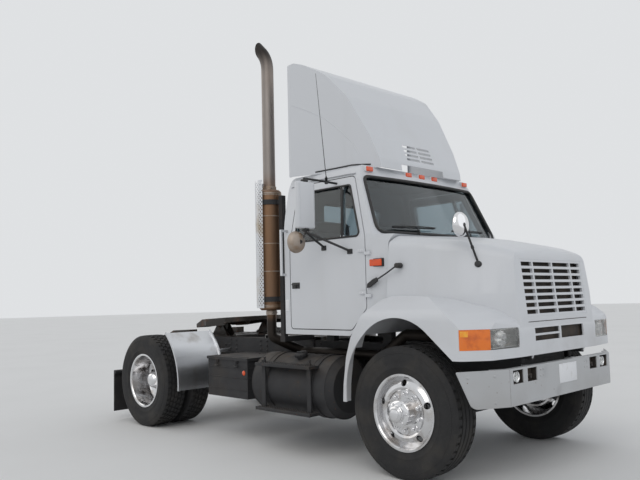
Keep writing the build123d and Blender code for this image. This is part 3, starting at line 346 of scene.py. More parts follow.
def seat_cloth():
    finish = Finish("seat_cloth", (0.085, 0.09, 0.105), 0.95, Sheen_Weight=0.35)
    warp = finish.node("TexWave", Vector=finish.place, Scale=90.0)
    warp.bands_direction = "Y"
    weft = finish.node("TexWave", Vector=finish.place, Scale=90.0)
    weft.bands_direction = "DIAGONAL"
    weave = finish.times(warp.outputs["Fac"], weft.outputs["Fac"])
    finish.tint(finish.times(weave, 0.5), (0.14, 0.145, 0.16))
    return finish.rough(weave, 0.0012, 0.5).material


def cab_plastic():
    finish = Finish("cab_plastic", (0.065, 0.066, 0.07), 0.6)
    finish.patches(5, 5, 0.5, 0.8, (0.10, 0.10, 0.10))
    return finish.rough(finish.cells(420), 0.0005, 0.5).material


def gloss_black():
    finish = Finish("gloss_black", (0.018, 0.018, 0.019), 0.28)
    finish.patches(13, 6, 0.5, 0.8, (0.08, 0.07, 0.06), 0.5)
    return finish.dull(finish.noise(20, 4), 0.5).material


def mirror_glass():
    finish = Finish("mirror_glass", (0.72, 0.76, 0.80), 0.03, 1.0)
    return finish.dull(finish.step(finish.noise(6, 5), 0.5, 0.9), 0.2).material


def plate_white():
    finish = Finish("plate_white", (0.80, 0.81, 0.83), 0.4)
    finish.patches(16, 6, 0.55, 0.8, (0.62, 0.62, 0.60))
    return finish.grain(90, 3, 0.0004, 0.3).material


def lamp_silver():
    finish = Finish("lamp_silver", (0.80, 0.80, 0.78), 0.14, 1.0)
    return finish.dull(finish.noise(30, 4), 0.3).material


# A brighter amber for a patch on the turn lens: a painted highlight.
def bright_amber():
    finish = Finish("bright_amber", (0.95, 0.46, 0.03), 0.18, Coat_Weight=0.5)
    finish.patches(30, 3, 0.45, 0.7, (0.95, 0.30, 0.01))
    return finish.rough(finish.cells(120), 0.001, 0.5).material


def marker_lens():
    finish = Finish("marker_lens", (0.80, 0.085, 0.008), 0.24, Coat_Weight=0.5)
    finish.patches(14, 5, 0.5, 0.8, (0.48, 0.05, 0.006))
    return finish.rough(finish.cells(100), 0.0012, 0.5).material


def stained_steel():
    finish = Finish("stained_steel", (0.40, 0.34, 0.29), 0.42, 0.7)
    finish.patches(11, 6, 0.42, 0.7, (0.30, 0.21, 0.14))
    finish.dull(finish.noise(17, 5), 0.6)
    return finish.grain(130, 4, 0.0005, 0.35).material


# Near-black: painted shade behind the grille, in the bumper pockets and in the deck holes, and the own colour
# of dark seams and dial faces.
def painted_shade_and_black():
    finish = Finish("painted_shade_and_black", (0.035, 0.03, 0.027), 0.85)
    finish.patches(8, 6, 0.4, 0.7, (0.07, 0.052, 0.038))
    return finish.grain(60, 5, 0.002, 0.5).material


WHITE = white_paint()
CAB_WHITE = cab_paint()
BUMPER = bumper_paint()
CHASSIS = chassis_paint()
CAST = cast_metal()
POLISHED = polished_wheel()
DISH = dusty_dish()
STAINLESS = stainless()
CHROME = chrome()
SHIELD = heat_shield_metal()
TYRE = tyre_rubber()
RUBBER = black_rubber()
GLASS = window_glass()
CLEAR = clear_lens()
AMBER = amber_lens()
RED = red_lens()
STACK = stack_steel()
GREASY = greasy_steel()
TREAD = tread_aluminium()
CLOTH = seat_cloth()
PLASTIC = cab_plastic()
GLOSS_BLACK = gloss_black()
MIRROR = mirror_glass()
PLATE = plate_white()
SILVER = lamp_silver()
SHADE_AND_BLACK = painted_shade_and_black()
PAINTED_HIGHLIGHT_AMBER = bright_amber()
SUNSET = marker_lens()
STAINED = stained_steel()

NODE_FINISHES = {
    WHITE: ("roof_fairing", "hood_shell", "grille"),
    CAB_WHITE: ("cab_shell", "door_left", "door_right"),
    BUMPER: ("front_bumper",),
    CHASSIS: ("frame_rails", "crossmembers", "front_axle_beam", "front_springs", "rear_axle", "rear_springs",
              "drive_shaft", "radiator", "hood_brackets", "seat_bases", "exhaust_bracket", "fuel_tanks",
              "tank_steps", "battery_box", "air_tanks", "flap_hangers", "tie_rod"),
    CAST: ("engine_block", "transmission", "knuckle_left", "knuckle_right"),
    POLISHED: ("front_wheel_left", "front_wheel_right", "rear_wheels_left", "rear_wheels_right"),
    STAINLESS: ("quarter_fenders", "grab_handles"),
    SHIELD: ("heat_shield",),
    TYRE: ("front_tyre_left", "front_tyre_right", "rear_tyres_left", "rear_tyres_right"),
    RUBBER: ("hood_latches", "cab_mounts", "mudflaps"),
    GLASS: ("cab_glass", "door_glass_left", "door_glass_right"),
    AMBER: ("headlamps", "body_lamps"),
    STACK: ("muffler", "exhaust_pipes"),
    GREASY: ("fifth_wheel_plate", "fifth_wheel_base"),
    TREAD: ("deck_planks",),
    CLOTH: ("seats",),
    PLASTIC: ("dashboard", "steering_wheel"),
    GLOSS_BLACK: ("hood_mirror", "mirror_left", "mirror_right"),
}


def dress_nodes():
    for material, nodes in NODE_FINISHES.items():
        for name in nodes:
            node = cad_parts[name]
            if not node.material_slots:
                node.data.materials.append(material)
            for slot in node.material_slots:
                slot.material = material


# Shapes

def edges_of(geom):
    return [item for item in geom if isinstance(item, bmesh.types.BMEdge)]


def verts_of(geom):
    return [item for item in geom if isinstance(item, bmesh.types.BMVert)]


def rounded(bm, edges, width, steps=2):
    bmesh.ops.bevel(bm, geom=edges, offset=width, offset_type="OFFSET", segments=steps, profile=0.5,
                    affect="EDGES", clamp_overlap=True, material=-1)


def add_box(bm, low, high, edge=0.0, steps=2):
    """A box between two corners, its edges rounded."""
    low, high = Vector(low), Vector(high)
    size = high - low
    matrix = Matrix.Translation((low + high) / 2) @ Matrix.Diagonal((*size, 1))
    verts = bmesh.ops.create_cube(bm, size=1, matrix=matrix)["verts"]
    if edge:
        rounded(bm, list({e for v in verts for e in v.link_edges}), edge, steps)


def facing(origin, direction, up=Z):
    """A placement whose Z runs along a direction."""
    direction = Vector(direction).normalized()
    side = Vector(up).cross(direction)
    if side.length < 1e-4:
        side = X.cross(direction) if abs(direction.x) < 0.9 else Y.cross(direction)
    side.normalize()
    other = direction.cross(side)
    turn = Matrix((side, other, direction)).transposed()
    return Matrix.Translation(Vector(origin)) @ turn.to_4x4()


def add_rod(bm, start, end, radius, tip=None, sides=20, edge=0.0):
    """A round bar or cone between two points."""
    start, end = Vector(start), Vector(end)
    axis = end - start
    matrix = facing((start + end) / 2, axis)
    tip = radius if tip is None else tip
    verts = bmesh.ops.create_cone(bm, cap_ends=True, cap_tris=False, segments=sides, radius1=radius,
                                  radius2=tip, depth=axis.length, matrix=matrix)["verts"]
    if edge:
        edges = {e for v in verts for e in v.link_edges}
        rounded(bm, [e for e in edges if any(len(f.verts) > 4 for f in e.link_faces)], edge)


def add_turned(bm, profile, origin, axis=Y, steps=48):
    """A ring turned about an axis, from (radius, along) points; closed at radius 0 or round the ring."""
    place = facing(origin, axis)
    verts = [bm.verts.new(place @ Vector((radius, 0, along))) for radius, along in profile]
    edges = [bm.edges.new(two) for two in zip(verts, verts[1:])]
    if profile[0][0] > 1e-6 and profile[-1][0] > 1e-6:
        edges.append(bm.edges.new((verts[-1], verts[0])))
    bmesh.ops.spin(bm, geom=verts + edges, cent=Vector(origin), axis=Vector(axis).normalized(),
                   dvec=(0, 0, 0), angle=math.tau, steps=steps, use_merge=True, use_duplicate=False)
    bmesh.ops.remove_doubles(bm, verts=bm.verts, dist=1e-5)


def add_bar(bm, path, radius, sides=10, closed=False):
    """A round bar along a path of points."""
    path = [Vector(point) for point in path]
    count = len(path)
    places = []
    up = Z
    for number, point in enumerate(path):
        runs = []
        if number or closed:
            runs.append((point - path[number - 1]).normalized())
        if number < count - 1 or closed:
            runs.append((path[(number + 1) % count] - point).normalized())
        direction = sum(runs, Vector()).normalized()
        if abs(up.dot(direction)) > 0.95:
            up = X if abs(direction.x) < 0.9 else Y
        places.append(facing(point, direction, up))
    verts = bmesh.ops.create_circle(bm, cap_ends=False, segments=sides, radius=radius,
                                    matrix=places[0])["verts"]
    edges = list({e for v in verts for e in v.link_edges})
    first = edges
    for before, after in zip(places, places[1:]):
        made = bmesh.ops.extrude_edge_only(bm, edges=edges)["geom"]
        verts = verts_of(made)
        ring = set(verts)
        edges = [e for e in edges_of(made) if e.verts[0] in ring and e.verts[1] in ring]
        bmesh.ops.transform(bm, matrix=after @ before.inverted(), verts=verts)
    if closed:
        bmesh.ops.bridge_loops(bm, edges=first + edges)
    else:
        bmesh.ops.edgeloop_fill(bm, edges=first)
        bmesh.ops.edgeloop_fill(bm, edges=edges)


def add_plate(bm, outline, along, edge=0.0):
    """A flat plate: an outline of points, thickened along a vector."""
    face = bm.faces.new([bm.verts.new(Vector(point)) for point in outline])
    made = bmesh.ops.extrude_face_region(bm, geom=[face])["geom"]
    bmesh.ops.translate(bm, vec=Vector(along), verts=verts_of(made))
    if edge:
        faces = {f for v in verts_of(made) for f in v.link_faces} | {face}
        rounded(bm, list({e for f in faces for e in f.edges}), edge, 1)


def arc(radius, start, end, steps):
    """(x, y) points on an arc round the origin, angles in degrees."""
    points = []
    for number in range(steps + 1):
        angle = math.radians(start + (end - start) * number / steps)
        points.append((radius * math.cos(angle), radius * math.sin(angle)))
    return points


def round_loop(corners, radius, steps=5):
    """A closed ring of points through corners, each rounded off."""
    corners = [Vector(corner) for corner in corners]
    points = []
    for number, corner in enumerate(corners):
        before = (corners[number - 1] - corner).normalized()
        after = (corners[(number + 1) % len(corners)] - corner).normalized()
        half = before.angle(after) / 2
        reach = radius / math.tan(half)
        centre = corner + (before + after).normalized() * radius / math.sin(half)
        start = corner + before * reach - centre
        end = corner + after * reach - centre
        for step in range(steps + 1):
            points.append(centre + start.lerp(end, step / steps).normalized() * radius)
    return points


def mesh_of(name, bm):
    """The finished mesh of a bmesh, which is then free."""
    mesh = bpy.data.meshes.new(name)
    bm.to_mesh(mesh)
    bm.free()
    return mesh


def linked(name, data):
    """A new object in the scene."""
    made = bpy.data.objects.new(name, data)
    bpy.context.scene.collection.objects.link(made)
    return made


def shade(bm, angle):
    """Smooth shading, with sharp edges where faces meet at more than an angle in degrees."""
    limit = math.radians(angle)
    for face in bm.faces:
        face.smooth = True
    for edge in bm.edges:
        edge.smooth = edge.is_manifold and edge.calc_face_angle(0) < limit


def piece(name, bm, material, body, slot, smooth=35.0):
    """Finishes a bmesh as an object that rides on a body."""
    bmesh.ops.remove_doubles(bm, verts=bm.verts, dist=1e-6)
    bmesh.ops.recalc_face_normals(bm, faces=bm.faces)
    shade(bm, smooth)
    made = linked(name, mesh_of(name, bm))
    made.data.materials.append(material)
    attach(made, body)
    return made


def hex_nut(bm, centre, direction, size, height, stud=0.0):
    """A hexagon nut with a rounded top, and the end of its stud."""
    centre = Vector(centre)
    direction = Vector(direction).normalized()
    top = centre + direction * height
    add_rod(bm, centre, top, size, size * 0.94, 6)
    if stud:
        add_rod(bm, top, top + direction * stud, size * 0.48, size * 0.4, 12)


def ring_in_plane(bm, corners, radius, thick, sides=10):
    """A rubber or metal strip round a window or panel."""
    add_bar(bm, round_loop(corners, radius), thick, sides, closed=True)


def mirrored(points, sign):
    return [Vector((point.x, sign * point.y, point.z)) for point in points]


def joined_copy(node):
    """A node's mesh with its loose triangles merged."""
    bm = bmesh.new()
    bm.from_mesh(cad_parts[node].data)
    bmesh.ops.remove_doubles(bm, verts=bm.verts, dist=1e-5)
    return bm


def skin_tree(node):
    """The surface of a node, for laying lines on it."""
    skin = joined_copy(node)
    tree = BVHTree.FromBMesh(skin)
    skin.free()
    return tree


# Tyres and wheels

TYRE_RADIUS = HUB
TREAD_STEPS = 150
GROOVE = 0.014
GROOVE_WIDTH = 0.011
SLOT_DEPTH = 0.009
RIB_EDGES = (-0.112, -0.068, -0.024, 0.024, 0.068, 0.112)


def tyre_profile():
    """Half section of a worn road tyre: bead, side wall with its rings, shoulder and ribs."""
    tread = TYRE_RADIUS
    wall = [
        (0.2865, 0.107), (0.303, 0.113), (0.318, 0.122), (0.346, 0.1265), (0.349, 0.1285), (0.356, 0.1285),
        (0.359, 0.127), (0.398, 0.1355), (0.430, 0.1358), (0.457, 0.132), (0.4585, 0.1338), (0.463, 0.1335),
        (0.4645, 0.131), (0.486, 0.1265), (0.500, 0.122), (tread - 0.006, 0.1135),
    ]
    crown = []
    for low, high in zip(RIB_EDGES, RIB_EDGES[1:]):
        left = low + (GROOVE_WIDTH / 2 if low > -0.1 else 0)
        right = high - (GROOVE_WIDTH / 2 if high < 0.1 else 0)
        drop_left = 0.0035 if low < -0.1 else 0
        drop_right = 0.0035 if high > 0.1 else 0
        crown += [(tread - drop_left, left), (tread - drop_right, right)]
        if high < 0.1:
            crown += [(tread - GROOVE, right + 0.002), (tread - GROOVE, right + GROOVE_WIDTH - 0.002)]
    return [(r, -y) for r, y in wall] + crown + [(r, y) for r, y in reversed(wall)]


def cut_slots(bm, centre, ribs, every=3):
    """Presses slots across some ribs of a tyre, one step wide."""
    slots = []
    for face in bm.faces:
        place = face.calc_center_median() - centre
        radius = math.hypot(place.x, place.z)
        if radius < TYRE_RADIUS - 0.004 or abs(place.y) > 0.125:
            continue
        turn = math.degrees(math.atan2(place.z, place.x)) % 360
        number = int(turn / 360 * TREAD_STEPS)
        rib = sum(place.y > edge for edge in RIB_EDGES[1:-1])
        if rib in ribs and (number + rib) % every == 0:
            slots.append(face)
    made = bmesh.ops.extrude_discrete_faces(bm, faces=slots)["faces"]
    for face in made:
        for vert in face.verts:
            place = vert.co - centre
            vert.co -= Vector((place.x, 0, place.z)).normalized() * SLOT_DEPTH


def add_tyre(bm, x, y, ribs):
    centre = Vector((x, y, HUB))
    single = bmesh.new()
    add_turned(single, tyre_profile(), centre, Y, TREAD_STEPS)
    cut_slots(single, centre, ribs)
    mesh = mesh_of("tyre_section", single)
    bm.from_mesh(mesh)
    bpy.data.meshes.remove(mesh)


def tyres():
    """Front tyres with slots in their shoulders only, and rear pairs with slots in every rib."""
    for side, sign in SIDES:
        bm = bmesh.new()
        add_tyre(bm, FRONT, sign * FRONT_TYRE_Y, (0, 4))
        made = piece("front_tread_" + side, bm, TYRE, "wheel_front_" + side, "tyre", 40)
        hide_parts("front_tyre_" + side)
        low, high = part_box("rear_tyres_" + side)
        half = FRONT_TYRE_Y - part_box("front_tyre_left")[0].y
        bm = bmesh.new()
        for y in (low.y + half, high.y - half):
            add_tyre(bm, REAR, y, (0, 1, 2, 3, 4))
        made = piece("rear_tread_" + side, bm, TYRE, "wheels_rear_" + side, "tyre", 40)
        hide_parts("rear_tyres_" + side)


LUG_CIRCLE = 0.143
LUGS = 10
LUG_SIZE = 0.0185
CAP_BOLT_CIRCLE = 0.082
FRONT_CAP = ((0.098, 0.158), (0.099, 0.174), (0.090, 0.180), (0.068, 0.184), (0.066, 0.205), (0.060, 0.212),
             (0.040, 0.214), (0.038, 0.228), (0.030, 0.231), (0.0, 0.2315))
REAR_COVER = ((0.118, 0.100), (0.118, 0.112), (0.108, 0.120), (0.096, 0.150), (0.078, 0.192), (0.062, 0.204),
              (0.040, 0.212), (0.0, 0.214))
RIM_RING = ((0.286, 0.112), (0.300, 0.114), (0.3035, 0.118), (0.3035, 0.122), (0.297, 0.1235), (0.284, 0.121))


def ring_spots(x, y, radius, count, first=0.0):
    """Places round a wheel's axis, one to each nut or bolt."""
    for number in range(count):
        angle = math.tau * (number + first) / count
        yield Vector((x + radius * math.cos(angle), y, HUB + radius * math.sin(angle)))


def lug_nuts(name, x, y, out, material, body):
    bm = bmesh.new()
    for spot in ring_spots(x, y, LUG_CIRCLE, LUGS, 0.5):
        add_rod(bm, spot, spot + out * 0.006, LUG_SIZE * 1.35, sides=20)
        hex_nut(bm, spot + out * 0.006, out, LUG_SIZE, 0.024, 0.012)
    piece(name, bm, material, body, "polished_wheel")


def wheel_trim():
    for side, sign in SIDES:
        out = Y * sign
        front, rear = "wheel_front_" + side, "wheels_rear_" + side
        hub = sign * FRONT_TYRE_Y
        lug_nuts("front_lug_nuts_" + side, FRONT, sign * (FRONT_TYRE_Y + 0.084), out, CHROME, front)
        bm = bmesh.new()
        add_turned(bm, FRONT_CAP, (FRONT, hub, HUB), out, 48)
        for spot in ring_spots(FRONT, hub + sign * 0.179, CAP_BOLT_CIRCLE, 6):
            hex_nut(bm, spot, out, 0.009, 0.008)
        piece("hub_cap_" + side, bm, CHROME, front, "polished_wheel")
        lug_nuts("rear_lug_nuts_" + side, REAR, sign * (REAR_TYRES_Y + 0.014), out, DISH, rear)
        for name, section, offset, steps in (("rear_hub_cover_", REAR_COVER, 0.0, 48),
                                             ("rear_rim_ring_", RIM_RING, 0.165, 72)):
            bm = bmesh.new()
            add_turned(bm, section, (REAR, sign * (REAR_TYRES_Y + offset), HUB), out, steps)
            piece(name + side, bm, CHROME, rear, "polished_wheel")


# Glass seals and wipers

SCREEN_FOOT = (-0.300, 1.949)
SCREEN_LEAN = -0.256 / 0.576
SCREEN_CURVE = 7.437
BELT = 1.930
DOOR_LEAN = -0.128 / 0.570
DOOR_OUT = Vector((0, 1, -DOOR_LEAN)).normalized()
CAB_HALF = 1.0
VENT_X = -0.722
VENT_LEAN = 0.090
WINDOWS = (1.950, 2.428)
SCREEN = ((-0.928, 1.974), (0.928, 1.974), (0.836, 2.496), (-0.836, 2.496))


def on_screen(y, z, out=0.0):
    """A point on the windscreen's curved face, or in front of it."""
    x = SCREEN_FOOT[0] + (z - SCREEN_FOOT[1]) * SCREEN_LEAN - y * y / SCREEN_CURVE / 2
    return at(x, y, z) + screen_out(y) * out


def screen_out(y):
    return Vector((1, y / SCREEN_CURVE, -SCREEN_LEAN)).normalized()


def on_door(x, z, out=0.0):
    """A point on the left door's outer skin above the belt, or outside it."""
    return at(x, CAB_HALF + (z - BELT) * DOOR_LEAN, z) + DOOR_OUT * out


def window_seals():
    bm = bmesh.new()
    loop = []
    for number, (y, z) in enumerate(SCREEN):
        before, after = Vector(SCREEN[number - 1]), Vector(SCREEN[(number + 1) % 4])
        here = Vector((y, z))
        reach = 0.085 if z < 2.2 else 0.055
        for share in (0, 0.25, 0.5, 0.75, 1):
            start = here + (before - here).normalized() * reach * (1 - share)
            loop.append(start.lerp(here + (after - here).normalized() * reach * share, share))
        for share in (0.2, 0.4, 0.6, 0.8):
            run = after - here
            loop.append(here + run.normalized() * (reach + (run.length - 2 * reach) * share))
    add_bar(bm, [on_screen(y, z, 0.003) for y, z in loop], 0.015, 12, closed=True)
    back = [at(-1.541, y, z) for y, z in ((-0.43, 1.96), (0.43, 1.96), (0.43, 2.38), (-0.43, 2.38))]
    ring_in_plane(bm, back, 0.05, 0.012)
    piece("cab_window_seals", bm, RUBBER, "chassis", "black_rubber", 50)
    low, high = WINDOWS
    outline = [(-1.345, low), (-0.512, low), (-0.706, high), (-1.345, high)]
    for side, sign in SIDES:
        bm = bmesh.new()
        ring_in_plane(bm, mirrored([on_door(x, z, 0.002) for x, z in outline], sign), 0.03, 0.009)
        top = VENT_X - VENT_LEAN
        half = 0.013
        bar = [on_door(x, z, 0.004) for x, z in ((VENT_X - half, low), (VENT_X + half, low),
                                                 (top + half, high), (top - half, high))]
        add_plate(bm, mirrored(bar, sign), Y * sign * -0.03, 0.002)
        latch = mirrored([on_door(VENT_X + 0.03, 2.03, -0.02), on_door(VENT_X + 0.06, 2.05, -0.02)], sign)
        add_rod(bm, latch[0], latch[1], 0.006, sides=8)
        piece("door_window_seals_" + side, bm, RUBBER, "door_" + side, "black_rubber", 50)


def wipers():
    bm = bmesh.new()
    for start, end, pivot in ((-0.74, -0.16, -0.42), (0.10, 0.68, 0.40)):
        post = on_screen(pivot, 1.966)
        out = screen_out(pivot)
        add_rod(bm, post - out * 0.03, post + out * 0.028, 0.016, 0.013, 16)
        middle_point = on_screen((start + end) / 2, 2.036, 0.030)
        add_bar(bm, [post + out * 0.024, post.lerp(middle_point, 0.5) + out * 0.012, middle_point], 0.006, 8)
        spine = [on_screen(start + (end - start) * share, 2.022 + 0.012 * share, 0.022 + 0.012 * lift)
                 for share, lift in ((0, 0), (0.25, 0.7), (0.5, 1), (0.75, 0.7), (1, 0))]
        add_bar(bm, spine, 0.005, 8)
        centre = (start + end) / 2
        for left, right in ((start, centre), (centre, end)):
            rise = [2.016 + 0.012 * (y - start) / (end - start) for y in (left, right)]
            blade = [on_screen(left, rise[0], 0.004), on_screen(right, rise[1], 0.004),
                     on_screen(right, rise[1], 0.020), on_screen(left, rise[0], 0.020)]
            add_plate(bm, blade, Vector((0, 0, 0.005)))
    piece("wipers", bm, GLOSS_BLACK, "chassis", "black_rubber")


# Mirrors

POST = (-0.920, 1.250)


MIRROR_TOP = 2.478
MIRROR_FOOT = 2.005
MIRROR_FEET = ((-0.945, 1.870), (-0.625, 1.820))
WIDE_MIRROR = (1.335, 1.912)
AERIAL = (-0.8945, -1.0)
WIDE_FACE = ((0.0, -0.0445), (0.030, -0.0440), (0.060, -0.0425), (0.086, -0.0400), (0.086, -0.036),
             (0.0, -0.036))
WIDE_SHELL = ((0.0, 0.020), (0.035, 0.0175), (0.066, 0.009), (0.086, -0.006), (0.094, -0.022),
              (0.096, -0.036), (0.0955, -0.042), (0.090, -0.0425), (0.087, -0.038), (0.0, -0.034))


def mirror_frame(side, sign):
    """Black tube that carries the mirrors on a door, with its feet and brackets."""
    spot = on_side(sign)
    bm = bmesh.new()
    add_bar(bm, [spot(*POST, 1.993), spot(*POST, 2.486)], 0.0125, 14)
    for path in (
        [(*POST, MIRROR_FOOT), (-0.934, 1.12, 1.936), (-0.945, 0.985, 1.870)],
        [(*POST, MIRROR_FOOT), (-0.775, 1.12, 1.914), (-0.625, 0.985, 1.820)],
        [(*POST, MIRROR_TOP), (-0.905, 1.05, 2.474), (-0.880, 0.868, 2.462)],
    ):
        add_bar(bm, [spot(*point) for point in path], 0.0105, 12)
    for x, z in MIRROR_FEET:
        add_box(bm, spot(x - 0.03, 0.995, z - 0.022), spot(x + 0.03, 1.008, z + 0.022), 0.004)
        for dx in (-0.018, 0.018):
            add_rod(bm, spot(x + dx, 1.006, z), spot(x + dx, 1.013, z), 0.006, 0.005, 10)
    for z in (2.022, 2.458):
        add_box(bm, spot(-0.945, 1.225, z - 0.012), spot(-0.895, 1.275, z + 0.012), 0.005)
    arm = [(*POST, MIRROR_FOOT), (-0.918, 1.27, 1.960), (-0.916, 1.32, 1.922)]
    add_bar(bm, [spot(*point) for point in arm], 0.009, 12)
    add_rod(bm, spot(-0.918, 1.305, 1.916), spot(-0.904, 1.335, 1.912), 0.016, 0.02, 14)
    made = piece("mirror_frame_" + side, bm, GLOSS_BLACK, "door_" + side, "mirror_black")
    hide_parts("mirror_" + side)


def mirror_heads(side, sign):
    """The flat mirror, turned a little out, and the round wide-angle one below it."""
    spot = on_side(sign)
    body = "door_" + side
    post = spot(*POST, 0)
    turn = Matrix.Rotation(math.radians(8 * sign), 4, "Z")
    turn = Matrix.Translation(post) @ turn @ Matrix.Translation(-post)
    head = bmesh.new()
    add_box(head, spot(-0.946, 1.154, 2.032), spot(-0.892, 1.348, 2.448), 0.017, 4)
    for y in (1.178, 1.324):
        add_rod(head, spot(-0.893, y, 2.05), spot(-0.893, y, 2.43), 0.0045, sides=10)
    bmesh.ops.transform(head, matrix=turn, verts=head.verts)
    piece("mirror_head_" + side, head, WHITE, body, "white_paint")
    glass = bmesh.new()
    add_box(glass, spot(-0.9495, 1.166, 2.044), spot(-0.9445, 1.336, 2.436), 0.002)
    bmesh.ops.transform(glass, matrix=turn, verts=glass.verts)
    add_turned(glass, WIDE_FACE, spot(-0.900, *WIDE_MIRROR), X, 40)
    piece("mirror_faces_" + side, glass, MIRROR, body, "mirror_black")
    bowl = bmesh.new()
    add_turned(bowl, WIDE_SHELL, spot(-0.920, *WIDE_MIRROR), X, 48)
    piece("wide_mirror_back_" + side, bowl, STAINED, body, "mirror_black")


def door_mirrors():
    for side, sign in SIDES:
        mirror_frame(side, sign)
        mirror_heads(side, sign)
    whip = bmesh.new()
    add_rod(whip, at(-0.894, -1.0, 2.450), at(-0.894, -1.0, 2.470), 0.017, 0.015, 16, 0.003)
    for number in range(7):
        coil = at(*AERIAL, 2.4735 + number * 0.0055)
        add_turned(whip, [(0.0115, -0.002), (0.0138, 0.0), (0.0115, 0.002)], coil, Z, 16)
    add_rod(whip, at(*AERIAL, 2.468), at(*AERIAL, 2.52), 0.009, 0.007, 12)
    add_rod(whip, at(*AERIAL, 2.50), at(-1.0, -1.0, 3.500), 0.0036, 0.0018, 8)
    piece("whip_aerial", whip, GLOSS_BLACK, "door_right", "mirror_black")


HOOD_MIRROR = (0.420, -0.872, 1.966)


def hood_mirror():
    bm = bmesh.new()
    dish = [(0.0, 0.0), (0.088, 0.0), (0.096, 0.002), (0.0995, 0.008), (0.097, 0.020), (0.086, 0.034),
            (0.062, 0.044), (0.032, 0.049), (0.0, 0.050)]
    add_turned(bm, dish, at(*HOOD_MIRROR), X, 56)
    made = piece("hood_mirror_bowl", bm, CHROME, "hood", "mirror_black")
    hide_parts("hood_mirror")
    face = bmesh.new()
    add_turned(face, [(0.0, -0.003), (0.05, -0.002), (0.084, 0.0005), (0.084, 0.002), (0.0, 0.002)],
               at(*HOOD_MIRROR), X, 48)
    piece("hood_mirror_face", face, MIRROR, "hood", "mirror_black")
    stem = bmesh.new()
    base, head = at(0.500, -0.742, 1.655), at(0.466, -0.872, 1.962)
    add_bar(stem, [base, base.lerp(head, 0.55), head], 0.0088, 14)
    add_rod(stem, base.lerp(head, 0.40), base.lerp(head, 0.47), 0.0125, 0.0125, 16, 0.002)
    add_rod(stem, head - X * 0.006, head + X * 0.006, 0.02, 0.016, 16, 0.002)
    foot, out = at(0.500, -0.728, 1.650), Vector((0.05, -0.96, 0.27))
    add_rod(stem, foot - out * 0.02, foot + out * 0.046, 0.036, 0.024, 24, 0.006)
    piece("hood_mirror_stem", stem, GLOSS_BLACK, "hood", "mirror_black")


# Lamps

AMBER_SPLIT = 0.994


def keep_side(bm, point, direction):
    """Cuts a closed mesh on a plane, keeps what is behind it, and closes the cut."""
    geom = bm.verts[:] + bm.edges[:] + bm.faces[:]
    made = bmesh.ops.bisect_plane(bm, geom=geom, dist=1e-6, plane_co=point, plane_no=direction,
                                  clear_outer=True)
    edges = edges_of(made["geom_cut"])
    if edges:
        bmesh.ops.holes_fill(bm, edges=edges)


def headlamps():
    """Clear and amber lenses cut from the node's own form over a silver bucket with its bowl, and a painted
    highlight on the amber lens's corner.
    """
    for side, sign in SIDES:
        spot = on_side(sign)
        out = Y * sign
        split = spot(0, AMBER_SPLIT, 0)
        amber = joined_copy("headlamps")
        keep_side(amber, split, -out)
        made = piece("turn_lens_" + side, amber, AMBER, "hood", "lens", 30)
        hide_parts("headlamps")
        clear = joined_copy("headlamps")
        keep_side(clear, split, out)
        keep_side(clear, (0, 0, 0), -out)
        keep_side(clear, spot(0.761, 0.640, 0), (-0.360, -sign * 0.037, 0))
        piece("head_lens_" + side, clear, CLEAR, "hood", "lens", 30)
        bucket = bmesh.new()
        for front, outer, low, high in ((0.625, 0.992, 1.026, 1.164), (0.738, 0.668, 1.026, 1.164),
                                        (0.722, 0.992, 1.026, 1.032), (0.722, 0.992, 1.158, 1.164)):
            add_box(bucket, spot(0.610, 0.662, low), spot(front, outer, high))
        for number in range(4):
            y = 0.676 + number * 0.014
            add_box(bucket, spot(0.70, y, 1.034), spot(0.722, y + 0.004, 1.156))
        piece("head_bucket_" + side, bucket, SILVER, "hood", "lens")
        bowl = bmesh.new()
        profile = [(0.0, -0.012), (0.03, -0.009), (0.048, 0.006), (0.058, 0.028), (0.062, 0.050),
                   (0.066, 0.052),
                   (0.066, 0.046), (0.060, 0.020), (0.050, -0.004), (0.03, -0.018), (0.0, -0.020)]
        add_turned(bowl, profile, spot(0.660, 0.835, 1.095), X, 40)
        add_rod(bowl, spot(0.655, 0.835, 1.095), spot(0.700, 0.835, 1.095), 0.012, 0.009, 16, 0.002)
        piece("head_bowl_" + side, bowl, CHROME, "hood", "lens")
        # A brighter amber patch on the turn lens's outer corner: a painted highlight.
        corner = joined_copy("headlamps")
        for point, direction in ((spot(0, 1.062, 0), -out), (spot(0.588, 0, 0), -X), (spot(0.628, 0, 0), X),
                                 (spot(0, 0, 1.118), -Z), (spot(0, 0, 1.158), Z)):
            keep_side(corner, point, direction)
        bmesh.ops.translate(corner, vec=Vector((0.0008, sign * 0.0006, 0)), verts=corner.verts)
        piece("turn_spot_" + side, corner, PAINTED_HIGHLIGHT_AMBER, "hood", "lens", 30)


def roof_lamps():
    lenses, bases = bmesh.new(), bmesh.new()
    for y in (-0.750, -0.204, 0.0, 0.204, 0.750):
        front = -0.580 if abs(y) > 0.5 else -0.566
        add_box(bases, at(front - 0.080, y - 0.050, 2.546), at(front - 0.012, y + 0.050, 2.596), 0.009, 3)
        add_box(lenses, at(front - 0.026, y - 0.042, 2.549), at(front - 0.0005, y + 0.042, 2.592), 0.007, 3)
    made = piece("roof_lamp_lenses", lenses, SUNSET, "chassis", "lens")
    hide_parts("body_lamps")
    piece("roof_lamp_bases", bases, WHITE, "chassis", "white_paint")


FRAME_REAR = -4.350


